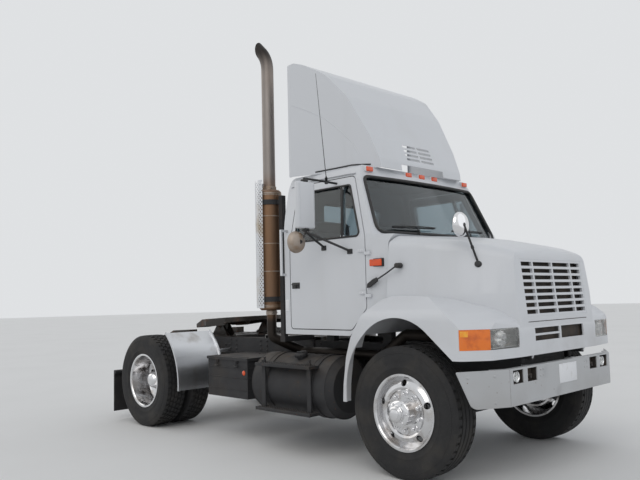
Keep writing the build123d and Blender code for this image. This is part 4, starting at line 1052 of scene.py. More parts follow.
def side_and_tail_lamps():
    lenses, bases, tails, boxes = bmesh.new(), bmesh.new(), bmesh.new(), bmesh.new()
    for _, sign in SIDES:
        spot = on_side(sign)
        add_box(lenses, spot(-0.412, 0.960, 1.681), spot(-0.280, 0.9975, 1.739), 0.008, 3)
        add_box(bases, spot(-0.420, 0.950, 1.675), spot(-0.272, 0.987, 1.745), 0.006, 2)
        rear = FRAME_REAR - 0.024
        add_box(boxes, spot(FRAME_REAR - 0.028, 0.330, 0.790), spot(FRAME_REAR, 0.428, 0.930), 0.006, 2)
        add_box(tails, spot(FRAME_REAR - 0.040, 0.338, 0.800), spot(rear, 0.420, 0.885), 0.006, 3)
        add_box(tails, spot(FRAME_REAR - 0.038, 0.338, 0.892), spot(rear, 0.420, 0.922), 0.004, 2)
    piece("cowl_lamp_lenses", lenses, SUNSET, "chassis", "lens")
    piece("cowl_lamp_bases", bases, RUBBER, "chassis", "black_rubber")
    piece("tail_lamp_boxes", boxes, CHASSIS, "chassis", "black_paint")
    piece("tail_lamp_lenses", tails, RED, "chassis", "lens")


# Grille and bumper

def grille_shade_sheets():
    """Dark sheets behind the bars and the lower intake, painted shade in those openings, and the dark seam
    between the two.
    """
    bm = bmesh.new()
    for half, (foot, low), (head, high) in ((0.515, (0.722, 1.245), (0.672, 1.688)),
                                            (0.44, (0.742, 1.036), (0.738, 1.166))):
        corners = [at(foot, -half, low), at(foot, half, low), at(head, half, high), at(head, -half, high)]
        add_plate(bm, corners, (-0.006, 0, 0))
    piece("grille_shade_sheets", bm, SHADE_AND_BLACK, "hood", "black_paint")
    tree = skin_tree("hood_shell")
    found = [tree.ray_cast(at(1.5, -0.50 + number / 24, 1.201), -X)[0] for number in range(25)]
    seam = bmesh.new()
    add_bar(seam, [point for point in found if point], 0.0028, 8)
    piece("grille_seam", seam, SHADE_AND_BLACK, "hood", "white_paint")


BUMPER_FACE = 0.795
BUMPER_CORNER = 0.856
BUMPER_SWEEP = 0.205 / (1.235 - BUMPER_CORNER)
POCKETS = ((0.458, 0.601), (0.663, 0.811))
POCKET_HEIGHTS = (0.760, 0.860)
FOG_LAMP = (BUMPER_FACE - 0.048, 0.737, 0.808)
BOLT_HEAD = ((0.0, 0.006), (0.007, 0.005), (0.012, 0.002), (0.0125, 0.0), (0.0, 0.0))


def bumper_pockets():
    """Thin dark sheets lining the two pairs of openings, painted shade in them, and the tow pins in the inner
    ones.
    """
    bm = bmesh.new()
    low, high = POCKET_HEIGHTS
    back, mouth, wall = BUMPER_FACE - 0.055, BUMPER_FACE - 0.008, 0.004
    # The dark sheets in the openings are painted shade.
    for inner, outer in POCKETS:
        for sign in BOTH:
            spot = on_side(sign)
            for start, end in (
                ((back, inner, low), (back + 0.005, outer, high)),
                ((back, inner - wall, low), (mouth, inner, high)),
                ((back, outer, low), (mouth, outer + wall, high)),
                ((back, inner, low - wall), (mouth, outer, low)),
                ((back, inner, high), (mouth, outer, high + wall)),
            ):
                add_box(bm, spot(*start), spot(*end))
    for sign in BOTH:
        spot = on_side(sign)
        add_box(bm, spot(BUMPER_FACE - 0.050, 0.50, 0.800), spot(BUMPER_FACE - 0.020, 0.56, 0.812), 0.003)
        add_rod(bm, spot(BUMPER_FACE - 0.05, 0.53, 0.79), spot(BUMPER_FACE - 0.012, 0.53, 0.79), 0.012,
                sides=16)
    piece("bumper_pockets", bm, SHADE_AND_BLACK, "chassis", "bumper_paint")


def fog_lamps():
    rims, glass = bmesh.new(), bmesh.new()
    for sign in BOTH:
        place = on_side(sign)(*FOG_LAMP)
        rim = [(0.040, 0.0), (0.045, 0.004), (0.045, 0.030), (0.041, 0.034), (0.037, 0.030), (0.030, 0.006)]
        add_turned(rims, rim, place, X, 36)
        bowl = [(0.0, 0.004), (0.018, 0.006), (0.030, 0.012), (0.037, 0.024), (0.0, 0.0)]
        add_turned(rims, bowl, place, X, 36)
        lens = [(0.0, 0.036), (0.022, 0.034), (0.038, 0.029), (0.038, 0.026), (0.0, 0.030)]
        add_turned(glass, lens, place, X, 36)
    piece("fog_lamp_rims", rims, CHROME, "chassis", "lens")
    piece("fog_lamp_glass", glass, CLEAR, "chassis", "lens")


def bumper_bolts():
    """Round bolt heads on the bumper's face and its swept corners, and the seams between the two."""
    bolts, seams = bmesh.new(), bmesh.new()
    for y in (-0.36, 0.36, -0.405, 0.405):
        for z in (0.838, 0.790):
            add_turned(bolts, BOLT_HEAD, at(BUMPER_FACE - 0.001, y, z), X, 16)
    for sign in BOTH:
        spot = on_side(sign)
        for dy, z in ((0.11, 0.83), (0.30, 0.83), (0.11, 0.64)):
            place = spot(BUMPER_FACE - 0.001 - BUMPER_SWEEP * dy, BUMPER_CORNER + dy, z)
            add_turned(bolts, BOLT_HEAD, place, Vector((1, sign * BUMPER_SWEEP, 0)), 16)
        add_box(seams, spot(BUMPER_FACE - 0.004, BUMPER_CORNER - 0.002, 0.606),
                spot(BUMPER_FACE - 0.0005, BUMPER_CORNER + 0.002, 0.871))
    piece("bumper_bolts", bolts, BUMPER, "chassis", "bumper_paint")
    piece("bumper_seams", seams, SHADE_AND_BLACK, "chassis", "bumper_paint")


def front_plate():
    """A blank plate with a raised rim and four screws, a little left of the middle."""
    bm = bmesh.new()

    def spot(out, y, z):
        return at(BUMPER_FACE + out, 0.050 + y, 0.772 + z)

    add_box(bm, spot(0.0002, -0.1525, -0.076), spot(0.003, 0.1525, 0.076), 0.0009, 2)
    rim = [spot(0.003, y, z) for y, z in ((-0.146, -0.070), (0.146, -0.070), (0.146, 0.070), (-0.146, 0.070))]
    add_bar(bm, round_loop(rim, 0.012), 0.0014, 6, closed=True)
    for y in (-0.09, 0.09):
        for z in (-0.058, 0.058):
            add_rod(bm, spot(0.002, y, z), spot(0.006, y, z), 0.006, 0.004, 12)
    piece("front_plate", bm, PLATE, "chassis", "bumper_paint")


# Exhaust

STACK_FOOT = (-1.900, -0.820)
SHIELD_RADIUS = 0.1485
SHIELD_HEIGHTS = (1.334, 2.626)
SHIELD_START = 152
SHIELD_SWEEP = 138
SHIELD_ROWS = 66
SHIELD_COLUMNS = 20


def heat_shield():
    """A rolled sheet with a chequer of square holes, on six stand-offs."""
    bm = bmesh.new()
    foot = at(*STACK_FOOT, 0)
    low, high = SHIELD_HEIGHTS
    pitch = (high - low) / SHIELD_ROWS
    start = math.radians(SHIELD_START)
    edge = foot + Vector((math.cos(start), math.sin(start), 0)) * SHIELD_RADIUS
    verts = [bm.verts.new(edge + Z * (low + pitch * row)) for row in range(SHIELD_ROWS + 1)]
    edges = [bm.edges.new(two) for two in zip(verts, verts[1:])]
    bmesh.ops.spin(bm, geom=verts + edges, cent=foot, axis=Z, dvec=(0, 0, 0),
                   angle=math.radians(SHIELD_SWEEP),
                   steps=SHIELD_COLUMNS, use_merge=False, use_duplicate=False)
    bmesh.ops.remove_doubles(bm, verts=bm.verts, dist=1e-5)
    holes = []
    for face in bm.faces:
        spot = face.calc_center_median() - foot
        row = int((spot.z - low) / pitch)
        turn = math.degrees(math.atan2(spot.y, spot.x)) % 360 - SHIELD_START
        column = int(turn / (SHIELD_SWEEP / SHIELD_COLUMNS))
        if (row + column) % 2 and 0 < row < SHIELD_ROWS - 1:
            holes.append(face)
    bmesh.ops.inset_individual(bm, faces=holes, thickness=0.0028, depth=0, use_even_offset=True)
    bmesh.ops.delete(bm, geom=holes, context="FACES_ONLY")
    bmesh.ops.recalc_face_normals(bm, faces=bm.faces)
    bmesh.ops.solidify(bm, geom=bm.faces[:], thickness=0.0018)
    for z in (1.48, 1.98, 2.48):
        for angle in (200, 285):
            turn = math.radians(angle)
            along = Vector((math.cos(turn), math.sin(turn), 0))
            post = at(*STACK_FOOT, z)
            add_rod(bm, post + along * 0.119, post + along * 0.149, 0.009, sides=12)
            add_rod(bm, post + along * SHIELD_RADIUS, post + along * 0.1498, 0.012, 0.010, 12)
    made = piece("heat_shield_sheet", bm, SHIELD, "chassis", "stainless", 25)
    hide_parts("heat_shield")


def exhaust_bands():
    """Thin bands round the muffler, and a bolted clamp on the pipe above and below it."""
    bm = bmesh.new()
    for radius, heights in ((0.121, (1.345, 1.36, 2.495, 2.48)), (0.1205, (1.70, 1.98, 2.26))):
        inner, outer = radius - 0.002, radius + 0.002
        for z in heights:
            section = [(inner, -0.006), (outer, -0.004), (outer, 0.004), (inner, 0.006)]
            add_turned(bm, section, at(*STACK_FOOT, z), Z, 56)
    for z, ring in ((2.55, 0.0645), (1.285, 0.0495)):
        section = [(ring, -0.022), (ring + 0.006, -0.020), (ring + 0.006, 0.020), (ring, 0.022)]
        add_turned(bm, section, at(*STACK_FOOT, z), Z, 40)
        bolt = at(*STACK_FOOT, z) + X * ring
        add_rod(bm, bolt - Y * 0.03, bolt + Y * 0.03, 0.007, sides=12)
        hex_nut(bm, bolt - Y * 0.03, -Y, 0.011, 0.009)
    piece("exhaust_clamps", bm, STAINED, "chassis", "stack_steel")


# Hood straps

STRAP_KNOB = (-0.100, 1.672)
STRAP_GRIP = ((-0.424, 1.498), (-0.392, 1.500), (-0.300, 1.552), (-0.312, 1.584), (-0.352, 1.572),
              (-0.420, 1.532))
STRAP = ((-0.405, 1.522, 0.016), (-0.330, 1.556, 0.019), (-0.210, 1.612, 0.019), (-0.104, 1.668, 0.018))


def hood_latches():
    """Rubber straps that hold the hood down, each from its grip on the cowl to a knob on the hood."""
    bm = bmesh.new()
    for _, sign in SIDES:
        def spot(x, z, out):
            return at(x, sign * (CAB_HALF + out), z)

        add_bar(bm, [spot(*point) for point in STRAP], 0.0065, 10)
        add_plate(bm, [spot(x, z, 0.008) for x, z in STRAP_GRIP], Y * sign * 0.017, 0.004)
        add_rod(bm, spot(*STRAP_KNOB, -0.04), spot(*STRAP_KNOB, 0.024), 0.024, 0.021, 24, 0.004)
        add_rod(bm, spot(*STRAP_KNOB, 0.02), spot(*STRAP_KNOB, 0.0258), 0.011, 0.009, 16)
    made = piece("hood_straps", bm, RUBBER, "hood", "black_rubber")
    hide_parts("hood_latches")


# Smooth skins

def smooth_skin(node, material, body):
    """A node's own surface, merged and shaded smooth between its sharp edges."""
    bm = joined_copy(node)
    shade(bm, 30.0)
    made = linked(node + "_skin", mesh_of(node + "_skin", bm))
    made.data.materials.append(material)
    even = made.modifiers.new("even_shading", "WEIGHTED_NORMAL")
    even.keep_sharp = True
    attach(made, body)
    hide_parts(node)


def skins():
    smooth_skin("cab_shell", CAB_WHITE, "chassis")
    smooth_skin("roof_fairing", WHITE, "chassis")
    smooth_skin("hood_shell", WHITE, "hood")
    smooth_skin("door_left", CAB_WHITE, "door_left")
    smooth_skin("door_right", CAB_WHITE, "door_right")
    smooth_skin("quarter_fenders", STAINLESS, "chassis")
    smooth_skin("exhaust_pipes", STACK, "chassis")
    smooth_skin("muffler", STACK, "chassis")


# Fairing and cab trim

FAIRING_SEAM = ((-1.415, 3.303), (-1.281, 3.237), (-1.114, 3.144), (-0.994, 3.040), (-0.841, 2.876),
                (-0.734, 2.683))
FAIRING_BASE = ((-1.190, 2.618), (-1.010, 2.633), (-0.839, 2.648), (-0.735, 2.641), (-0.620, 2.630))


def line_on_fairing(tree, line, sign):
    """A line of (x, z) points laid on one side of the fairing."""
    path = []
    for start, end in zip(line, line[1:]):
        for share in (0, 0.25, 0.5, 0.75):
            x, z = (a + (b - a) * share for a, b in zip(start, end))
            found = tree.ray_cast(at(x, sign * 1.3, z), Y * -sign)[0]
            if found:
                path.append(found)
    return path


def fairing_lines():
    """The moulded seam and the roof gasket of the fairing, and the small panels on the cab's corners."""
    tree = skin_tree("roof_fairing")
    for name, line, radius, material, slot in (
        ("fairing_seams", FAIRING_SEAM, 0.0035, WHITE, "white_paint"),
        ("fairing_gaskets", FAIRING_BASE, 0.007, RUBBER, "black_rubber"),
    ):
        bm = bmesh.new()
        for sign in BOTH:
            add_bar(bm, line_on_fairing(tree, line, sign), radius, 8)
        piece(name, bm, material, "chassis", slot)
    panels = bmesh.new()
    for sign in BOTH:
        spot = on_side(sign)
        add_box(panels, spot(-1.478, 0.998, 1.305), spot(-1.430, 1.004, 1.412), 0.0025)
        for z in (1.318, 1.399):
            add_rod(panels, spot(-1.454, 1.003, z), spot(-1.454, 1.0055, z), 0.0045, sides=12)
    piece("corner_panels", panels, PLATE, "chassis", "white_paint")


# Doors

HINGES = (1.420, 1.780)
HANDLE_GRIP = ((-1.378, 1.003, 1.556), (-1.366, 1.018, 1.553), (-1.310, 1.021, 1.550), (-1.290, 1.016, 1.550),
               (-1.284, 1.003, 1.552))
TRIM_PANEL = ((-1.380, 1.185), (-0.640, 1.185), (-0.475, 1.345), (-0.475, 1.905), (-1.380, 1.905))
PULL = ((-1.13, 0.944, 1.66), (-1.11, 0.926, 1.66), (-1.03, 0.924, 1.66), (-1.01, 0.944, 1.66))
DRIP = ((-1.500, 2.505), (-1.300, 2.535), (-0.760, 2.535), (-0.655, 2.530))


def door_outside(side, sign):
    spot = on_side(sign)
    body = "door_" + side
    handle = bmesh.new()
    add_box(handle, spot(-1.385, 0.985, 1.512), spot(-1.275, 1.0025, 1.572), 0.006, 3)
    add_bar(handle, [spot(*point) for point in HANDLE_GRIP], 0.0065, 12)
    add_rod(handle, spot(-1.332, 1.000, 1.527), spot(-1.332, 1.010, 1.527), 0.014, 0.013, 24, 0.002)
    add_box(handle, spot(-1.3335, 1.0095, 1.519), spot(-1.3305, 1.0108, 1.535))
    piece("door_handle_" + side, handle, GLOSS_BLACK, body, "mirror_black")
    bolts = bmesh.new()
    for z in HINGES:
        for x in (-0.504, -0.477):
            add_rod(bolts, spot(x, 1.012, z + 0.042), spot(x, 1.0165, z + 0.042), 0.006, 0.005, 12)
    piece("hinge_bolts_" + side, bolts, CHROME, body, "white_paint")


def door_inside(side, sign):
    """Trim panel with its pads, arm rest and pocket, the window crank and the pull handle."""
    spot = on_side(sign)
    body = "door_" + side
    trim = bmesh.new()
    add_plate(trim, [spot(x, 0.958, z) for x, z in TRIM_PANEL], Y * -sign * 0.012, 0.004)
    for rear, front in ((-1.355, -1.02), (-0.99, -0.66)):
        add_box(trim, spot(rear, 0.934, 1.62), spot(front, 0.950, 1.87), 0.008, 3)
    add_box(trim, spot(-1.30, 0.905, 1.540), spot(-0.80, 0.955, 1.585), 0.014, 4)
    add_box(trim, spot(-1.33, 0.925, 1.235), spot(-0.86, 0.955, 1.40), 0.010, 3)
    add_box(trim, spot(-1.385, 0.945, 1.900), spot(-0.470, 0.9635, 1.925), 0.006, 3)
    piece("door_trim_" + side, trim, PLASTIC, body, "cab_plastic")
    crank = bmesh.new()
    add_rod(crank, spot(-0.770, 0.950, 1.50), spot(-0.770, 0.928, 1.50), 0.022, 0.018, 24, 0.003)
    add_bar(crank, [spot(-0.770, 0.932, 1.50), spot(-0.812, 0.926, 1.462), spot(-0.850, 0.922, 1.430)],
            0.006, 10)
    add_rod(crank, spot(-0.850, 0.924, 1.430), spot(-0.850, 0.896, 1.430), 0.013, 0.011, 18, 0.003)
    add_bar(crank, [spot(*point) for point in PULL], 0.007, 10)
    piece("window_crank_" + side, crank, CHROME, body, "cab_plastic")


def door_fittings():
    for side, sign in SIDES:
        door_outside(side, sign)
        door_inside(side, sign)
    rails = bmesh.new()
    for sign in BOTH:
        add_bar(rails, mirrored([on_door(x, z, 0.004) for x, z in DRIP], sign), 0.006, 8)
    piece("drip_rails", rails, CAB_WHITE, "chassis", "white_paint")


# Inside the cab

DIALS = ((0.375, 1.722, 0.046), (0.53, 1.722, 0.046), (0.285, 1.748, 0.024), (0.285, 1.690, 0.024),
         (0.625, 1.748, 0.024), (0.625, 1.690, 0.024), (0.452, 1.672, 0.020), (0.685, 1.722, 0.020))
STEERING_HUB = (-0.860, 0.450, 1.780)
STEERING_TILT = math.radians(62)
HORN_PAD = ((0.0, 0.030), (0.045, 0.028), (0.066, 0.018), (0.070, 0.0), (0.064, -0.014), (0.0, -0.018))


def dash_panels():
    """Instrument and middle panels, three vents, the glove box and the hood over the dials."""
    bm = bmesh.new()
    add_box(bm, at(-0.712, 0.20, 1.640), at(-0.690, 0.72, 1.790), 0.012, 3)
    add_box(bm, at(-0.706, -0.14, 1.610), at(-0.690, 0.16, 1.790), 0.008, 3)
    for y in (-0.80, -0.24, 0.78):
        for row in range(4):
            z = 1.735 + row * 0.013
            add_box(bm, at(-0.706, y - 0.05, z), at(-0.696, y + 0.05, z + 0.004))
    add_box(bm, at(-0.707, -0.72, 1.605), at(-0.696, -0.30, 1.715), 0.006, 3)
    cover = [at(-0.585, 0.18, 1.905), at(-0.585, 0.74, 1.905), at(-0.735, 0.72, 1.800),
             at(-0.735, 0.20, 1.800)]
    add_plate(bm, cover, Z * 0.014, 0.004)
    piece("dash_panels", bm, PLASTIC, "chassis", "cab_plastic")


def dash_dials():
    """Eight round instruments, each given as (y, z, radius), with a needle and nine marks."""
    rims, faces, needles = bmesh.new(), bmesh.new(), bmesh.new()
    for y, z, size in DIALS:
        place = at(-0.712, y, z)
        rim = [(size, 0.0), (size + 0.004, 0.001), (size + 0.003, 0.006), (size - 0.001, 0.004)]
        add_turned(rims, rim, place, -X, 28)
        add_turned(faces, [(0.0, 0.0015), (size, 0.0015), (size, 0.0), (0.0, 0.0)], place, -X, 28)
        lean = 2.2 + y * 3
        axle = place - X * 0.003
        tip = axle + Vector((0, math.cos(lean), math.sin(lean))) * size * 0.75
        add_bar(needles, [axle, tip], 0.0012, 6)
        for number in range(9):
            turn = math.radians(-40 + number * 32.5)
            out = Vector((0, math.cos(turn), math.sin(turn))) * size
            mark = place - X * 0.0022
            add_bar(needles, [mark + out * 0.78, mark + out * 0.93], 0.0007, 4)
    piece("dial_rims", rims, CHROME, "chassis", "cab_plastic")
    piece("dial_faces", faces, SHADE_AND_BLACK, "chassis", "cab_plastic")
    piece("dial_needles", needles, PLATE, "chassis", "cab_plastic")


def dash_controls():
    """Switches, heater knobs and brake valve buttons, and the pad on the steering wheel's hub."""
    bm = bmesh.new()
    for number in range(6):
        y = -0.11 + number * 0.044
        add_box(bm, at(-0.716, y, 1.738), at(-0.704, y + 0.026, 1.768), 0.003)
    for y in (-0.08, 0.0, 0.08):
        add_rod(bm, at(-0.703, y, 1.660), at(-0.726, y, 1.660), 0.018, 0.015, 20, 0.003)
    for y, z in ((0.11, 1.632), (0.11, 1.70)):
        add_rod(bm, at(-0.70, y, z), at(-0.735, y, z), 0.005, sides=10)
        add_rod(bm, at(-0.732, y, z), at(-0.752, y, z), 0.016, 0.014, 6, 0.003)
    piece("dash_controls", bm, GLOSS_BLACK, "chassis", "cab_plastic")
    pad = bmesh.new()
    axis = Vector((-math.sin(STEERING_TILT), 0, -math.cos(STEERING_TILT)))
    add_turned(pad, HORN_PAD, at(*STEERING_HUB), axis, 32)
    piece("horn_pad", pad, PLASTIC, "chassis", "cab_plastic")


FLOOR = 1.131
BOOT = ((0.0, 0.0), (0.115, 0.0), (0.118, 0.012), (0.090, 0.030), (0.096, 0.046), (0.070, 0.070),
        (0.076, 0.086), (0.052, 0.112), (0.056, 0.126), (0.034, 0.150), (0.020, 0.160), (0.0, 0.160))
KNOB = ((0.0, -0.030), (0.014, -0.028), (0.024, -0.008), (0.030, 0.014), (0.026, 0.030), (0.012, 0.037),
        (0.0, 0.038))
LEVER = ((-0.790, -0.040, 1.270), (-0.800, -0.038, 1.44), (-0.850, -0.030, 1.60), (-0.880, -0.020, 1.715))


def gear_lever():
    bm = bmesh.new()
    add_turned(bm, BOOT, at(-0.790, -0.040, FLOOR), Z, 32)
    piece("lever_boot", bm, RUBBER, "chassis", "black_rubber")
    bm = bmesh.new()
    add_bar(bm, [at(*point) for point in LEVER], 0.010, 12)
    piece("gear_lever", bm, CHROME, "chassis", "cab_plastic")
    bm = bmesh.new()
    add_turned(bm, KNOB, at(-0.884, -0.019, 1.735), Vector((-0.25, 0.05, 0.96)), 24)
    piece("lever_knob", bm, GLOSS_BLACK, "chassis", "cab_plastic")


def pedals():
    """Clutch, brake and accelerator, ribbed, each on its arm."""
    bm = bmesh.new()
    face, rise = Vector((-0.60, 0, 0.80)), Vector((0.80, 0, 0.60))
    for y, foot, width, height in ((0.605, 1.300, 0.085, 0.085), (0.450, 1.300, 0.095, 0.085),
                                   (0.285, 1.175, 0.060, 0.240)):
        low = at(-0.600, y, foot)
        across = Y * width / 2
        corners = [low - across, low + across, low + across + rise * height, low - across + rise * height]
        add_plate(bm, corners, face * 0.012, 0.003)
        for row in range(4):
            ridge = low + rise * height * (row + 0.7) / 4.4 + face * 0.012
            add_bar(bm, [ridge - across * 0.8, ridge + across * 0.8], 0.0025, 6)
        add_bar(bm, [low + rise * height * 0.5, low + Vector((0.13, 0, 0.16))], 0.009, 10)
    piece("pedals", bm, RUBBER, "chassis", "black_rubber")


def floor_and_visors():
    bm = bmesh.new()
    mat = FLOOR + 0.012
    add_box(bm, at(-1.480, -0.90, FLOOR), at(-0.700, 0.90, mat), 0.004)
    for y in (-0.80, 0.80):
        for row in range(16):
            x = -1.44 + row * 0.045
            add_box(bm, at(x, y - 0.085, mat), at(x + 0.018, y + 0.085, mat + 0.004))
    piece("floor_mat", bm, RUBBER, "chassis", "black_rubber")
    bm = bmesh.new()
    for sign in BOTH:
        spot = on_side(sign)
        visor = [spot(-0.665, 0.16, 2.492), spot(-0.665, 0.70, 2.492), spot(-0.790, 0.68, 2.530),
                 spot(-0.790, 0.18, 2.530)]
        add_plate(bm, visor, Vector((0.006, 0, 0.018)), 0.005)
    add_box(bm, at(-1.10, -0.07, 2.556), at(-0.98, 0.07, 2.582), 0.008, 3)
    piece("sun_visors", bm, PLASTIC, "chassis", "cab_plastic")


# Frame, springs and axles

REAR_AXLE = -3.744
SPRING_Y = 0.43
SPRING_HALF_WIDTH = 0.0385
SPRING_LEAVES = 5
SPRING_EYE = 0.675
SPRING_STEPS = 14
# middle of the pack, half length, underside at the middle, depth of the pack, U-bolts' offset
SPRINGS = ((0.0, 0.588, 0.482, 0.060, 0.060), (REAR_AXLE, 0.549, 0.587, 0.070, 0.075))


def leaf_arc(x, half, seat):
    """(x, z) points along one leaf, whose ends rise towards the spring's eyes."""
    points = []
    for number in range(SPRING_STEPS + 1):
        place = (number / SPRING_STEPS * 2 - 1) * 0.93
        points.append((x + half * place, seat + (SPRING_EYE - seat) * place * place))
    return points


def add_leaves(bm, x, half, seat, depth, sign):
    """Thin raised strips on both edges of a pack, one to each leaf."""
    thick = depth / SPRING_LEAVES * 0.34
    for number in range(SPRING_LEAVES):
        points = leaf_arc(x, half, seat + depth * (number + 0.5) / SPRING_LEAVES)
        for edge in (-1, 1):
            y = sign * (SPRING_Y + edge * SPRING_HALF_WIDTH)
            for (x0, z0), (x1, z1) in zip(points, points[1:]):
                quad = [at(x0, y, z0 + thick), at(x1, y, z1 + thick), at(x1, y, z1 - thick),
                        at(x0, y, z0 - thick)]
                add_plate(bm, quad, Y * sign * edge * 0.0025)


def add_spring_bolts(bm, x, half, seat, depth, post, sign):
    """U-bolts with their nuts and top plate, and the pins of both eyes."""
    spot = on_side(sign)
    top = seat + depth
    for dx in (-post, post):
        for y in (0.384, 0.476):
            add_rod(bm, spot(x + dx, y, seat - 0.05), spot(x + dx, y, top + 0.055), 0.0095, sides=12)
            hex_nut(bm, spot(x + dx, y, top + 0.022), Z, 0.017, 0.018)
    add_box(bm, spot(x - post - 0.03, 0.372, top + 0.004), spot(x + post + 0.03, 0.488, top + 0.022), 0.004)
    for end in (-1, 1):
        eye = x + end * (half + 0.012)
        add_rod(bm, spot(eye, 0.380, SPRING_EYE), spot(eye, 0.482, SPRING_EYE), 0.013, sides=16)
        hex_nut(bm, spot(eye, 0.468, SPRING_EYE), Y * sign, 0.021, 0.016)


def spring_packs():
    leaves, bolts = bmesh.new(), bmesh.new()
    for x, half, seat, depth, post in SPRINGS:
        for sign in BOTH:
            add_leaves(leaves, x, half, seat, depth, sign)
            add_spring_bolts(bolts, x, half, seat, depth, post, sign)
    piece("spring_leaves", leaves, CHASSIS, "chassis", "black_paint")
    piece("spring_bolts", bolts, CAST, "chassis", "cast_metal")


CROSSMEMBERS = (-3.05, -2.50, -1.65)
HANGERS = (-0.63, -0.58, 0.58, -3.20, -3.14, -4.305, -4.20, -0.80, -0.74)


def frame_bolts():
    """Bolt heads on the outside of both rails, where crossmembers and spring hangers are held."""
    bm = bmesh.new()
    head = [(0.0, 0.010), (0.008, 0.009), (0.013, 0.004), (0.0135, 0.0), (0.0, 0.0)]
    spots = [(x + dx, z) for x in CROSSMEMBERS for dx in (-0.055, 0.055) for z in (0.81, 0.86, 0.91, 0.96)]
    spots += [(x, z) for x in HANGERS for z in (0.775, 0.83, 0.90)]
    for x, z in spots:
        for sign in BOTH:
            add_turned(bm, head, at(x, sign * 0.4295, z), Y * sign, 10)
    piece("frame_bolts", bm, CHASSIS, "chassis", "black_paint")


SHAFT_REAR = (-3.412, 0.541)
SHAFT_FRONT = (-1.155, 0.760)


def shaft_height(x):
    """The height of the drive shaft's middle line."""
    share = (x - SHAFT_FRONT[0]) / (SHAFT_REAR[0] - SHAFT_FRONT[0])
    return SHAFT_FRONT[1] + share * (SHAFT_REAR[1] - SHAFT_FRONT[1])


def axle_details():
    """Ribs and cover bolts of the rear axle, and the flanges at both ends of its shaft."""
    bolts, ribs = bmesh.new(), bmesh.new()
    for spot in ring_spots(FRONT + REAR_AXLE, 0.0, 0.185, 10):
        for sign in BOTH:
            hex_nut(bolts, spot + Y * sign * 0.0745, Y * sign, 0.013, 0.012)
    for sign in BOTH:
        for turn in (60, 120, 180, 240, 300):
            angle = math.radians(turn)
            out = Vector((math.cos(angle), 0, math.sin(angle)))
            start, end = at(REAR_AXLE, sign * 0.074, HUB), at(REAR_AXLE, sign * 0.20, HUB)
            add_bar(ribs, [start + out * 0.19, end + out * 0.075], 0.010, 8)
    for y in (0.60, -0.60):
        collar = [(0.075, -0.012), (0.095, -0.012), (0.095, 0.012), (0.075, 0.012)]
        add_turned(ribs, collar, at(REAR_AXLE, y, HUB), Y, 32)
    piece("axle_ribs", ribs, CHASSIS, "chassis", "black_paint")
    for x, width in ((-3.395, 0.075), (-3.365, 0.062), (-1.185, 0.062), (-1.215, 0.075)):
        flange = [(0.050, -0.010), (width, -0.010), (width, 0.010), (0.050, 0.010)]
        add_turned(bolts, flange, at(x, 0, shaft_height(x)), Vector((1, 0, 0.097)), 24)
    piece("axle_bolts", bolts, CAST, "chassis", "cast_metal")


# Deck, tanks and boxes

def stamp(bm, pattern, move):
    """Adds a copy of a small pattern's mesh, moved."""
    move = Matrix.Translation(move)
    pattern.transform(move)
    bm.from_mesh(pattern)
    pattern.transform(move.inverted())


HOLE_HALF = (0.025, 0.017)
PLANKS = 4
PLANK_STEP = 0.225
PLANK_WIDTH = 0.210
PLANK_HALF = 0.424
DECK_REAR = -2.480
DECK_TOP = 1.028


def saw_ring():
    """The saw teeth round one diamond drain hole."""
    bm = bmesh.new()
    half_x, half_y = HOLE_HALF
    ring = [X * -half_x, Y * -half_y, X * half_x, Y * half_y]
    for start, end in zip(ring, ring[1:] + ring[:1]):
        for share in (0.12, 0.42, 0.72):
            foot = start.lerp(end, share)
            along = (end - start) * 0.2
            tooth = [foot, foot + along, foot + along * 0.5 + Z * 0.0088]
            add_plate(bm, tooth, (end - start).cross(Z).normalized() * 0.0022)
    return mesh_of("saw_ring", bm)


def deck_grip():
    """Pressed steel planks with raised saw teeth round their drain holes, which are painted shade: dark
    diamonds on the uncut planks.
    """
    bm, holes = bmesh.new(), bmesh.new()
    ring = saw_ring()
    half_x, half_y = HOLE_HALF[0] - 0.001, HOLE_HALF[1] - 0.001
    for number in range(PLANKS):
        rear = DECK_REAR + number * PLANK_STEP
        front = rear + PLANK_WIDTH
        add_box(bm, at(rear, -PLANK_HALF, DECK_TOP - 0.004), at(front, PLANK_HALF, DECK_TOP))
        for x in (rear, front - 0.004):
            add_box(bm, at(x, -PLANK_HALF, 0.991), at(x + 0.004, PLANK_HALF, 1.026))
        for row in range(3):
            x = rear + 0.037 + row * 0.068
            for column in range(17 - row % 2):
                y = -0.395 + column * 0.049 + (0.0245 if row % 2 else 0)
                stamp(bm, ring, at(x, y, DECK_TOP - 0.0002))
                # A dark diamond on the plank stands for each hole: painted shade.
                corners = [at(x + dx, y + dy, DECK_TOP + 0.0004)
                           for dx, dy in ((-half_x, 0), (0, -half_y), (half_x, 0), (0, half_y))]
                holes.faces.new([holes.verts.new(corner) for corner in corners])
    bpy.data.meshes.remove(ring)
    made = piece("deck_gratings", bm, TREAD, "chassis", "aluminium_plank")
    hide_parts("deck_planks")
    raised = bmesh.ops.extrude_face_region(holes, geom=holes.faces[:])["geom"]
    bmesh.ops.translate(holes, vec=(0, 0, 0.0006), verts=verts_of(raised))
    piece("deck_hole_shade", holes, SHADE_AND_BLACK, "chassis", "aluminium_plank")


TANK_AXIS = (0.850, 0.620)
TANK_ENDS = (-1.842, -0.858)
TANK_STRAPS = (-1.65, -1.03)
STEP_TOPS = (0.416, 0.826)


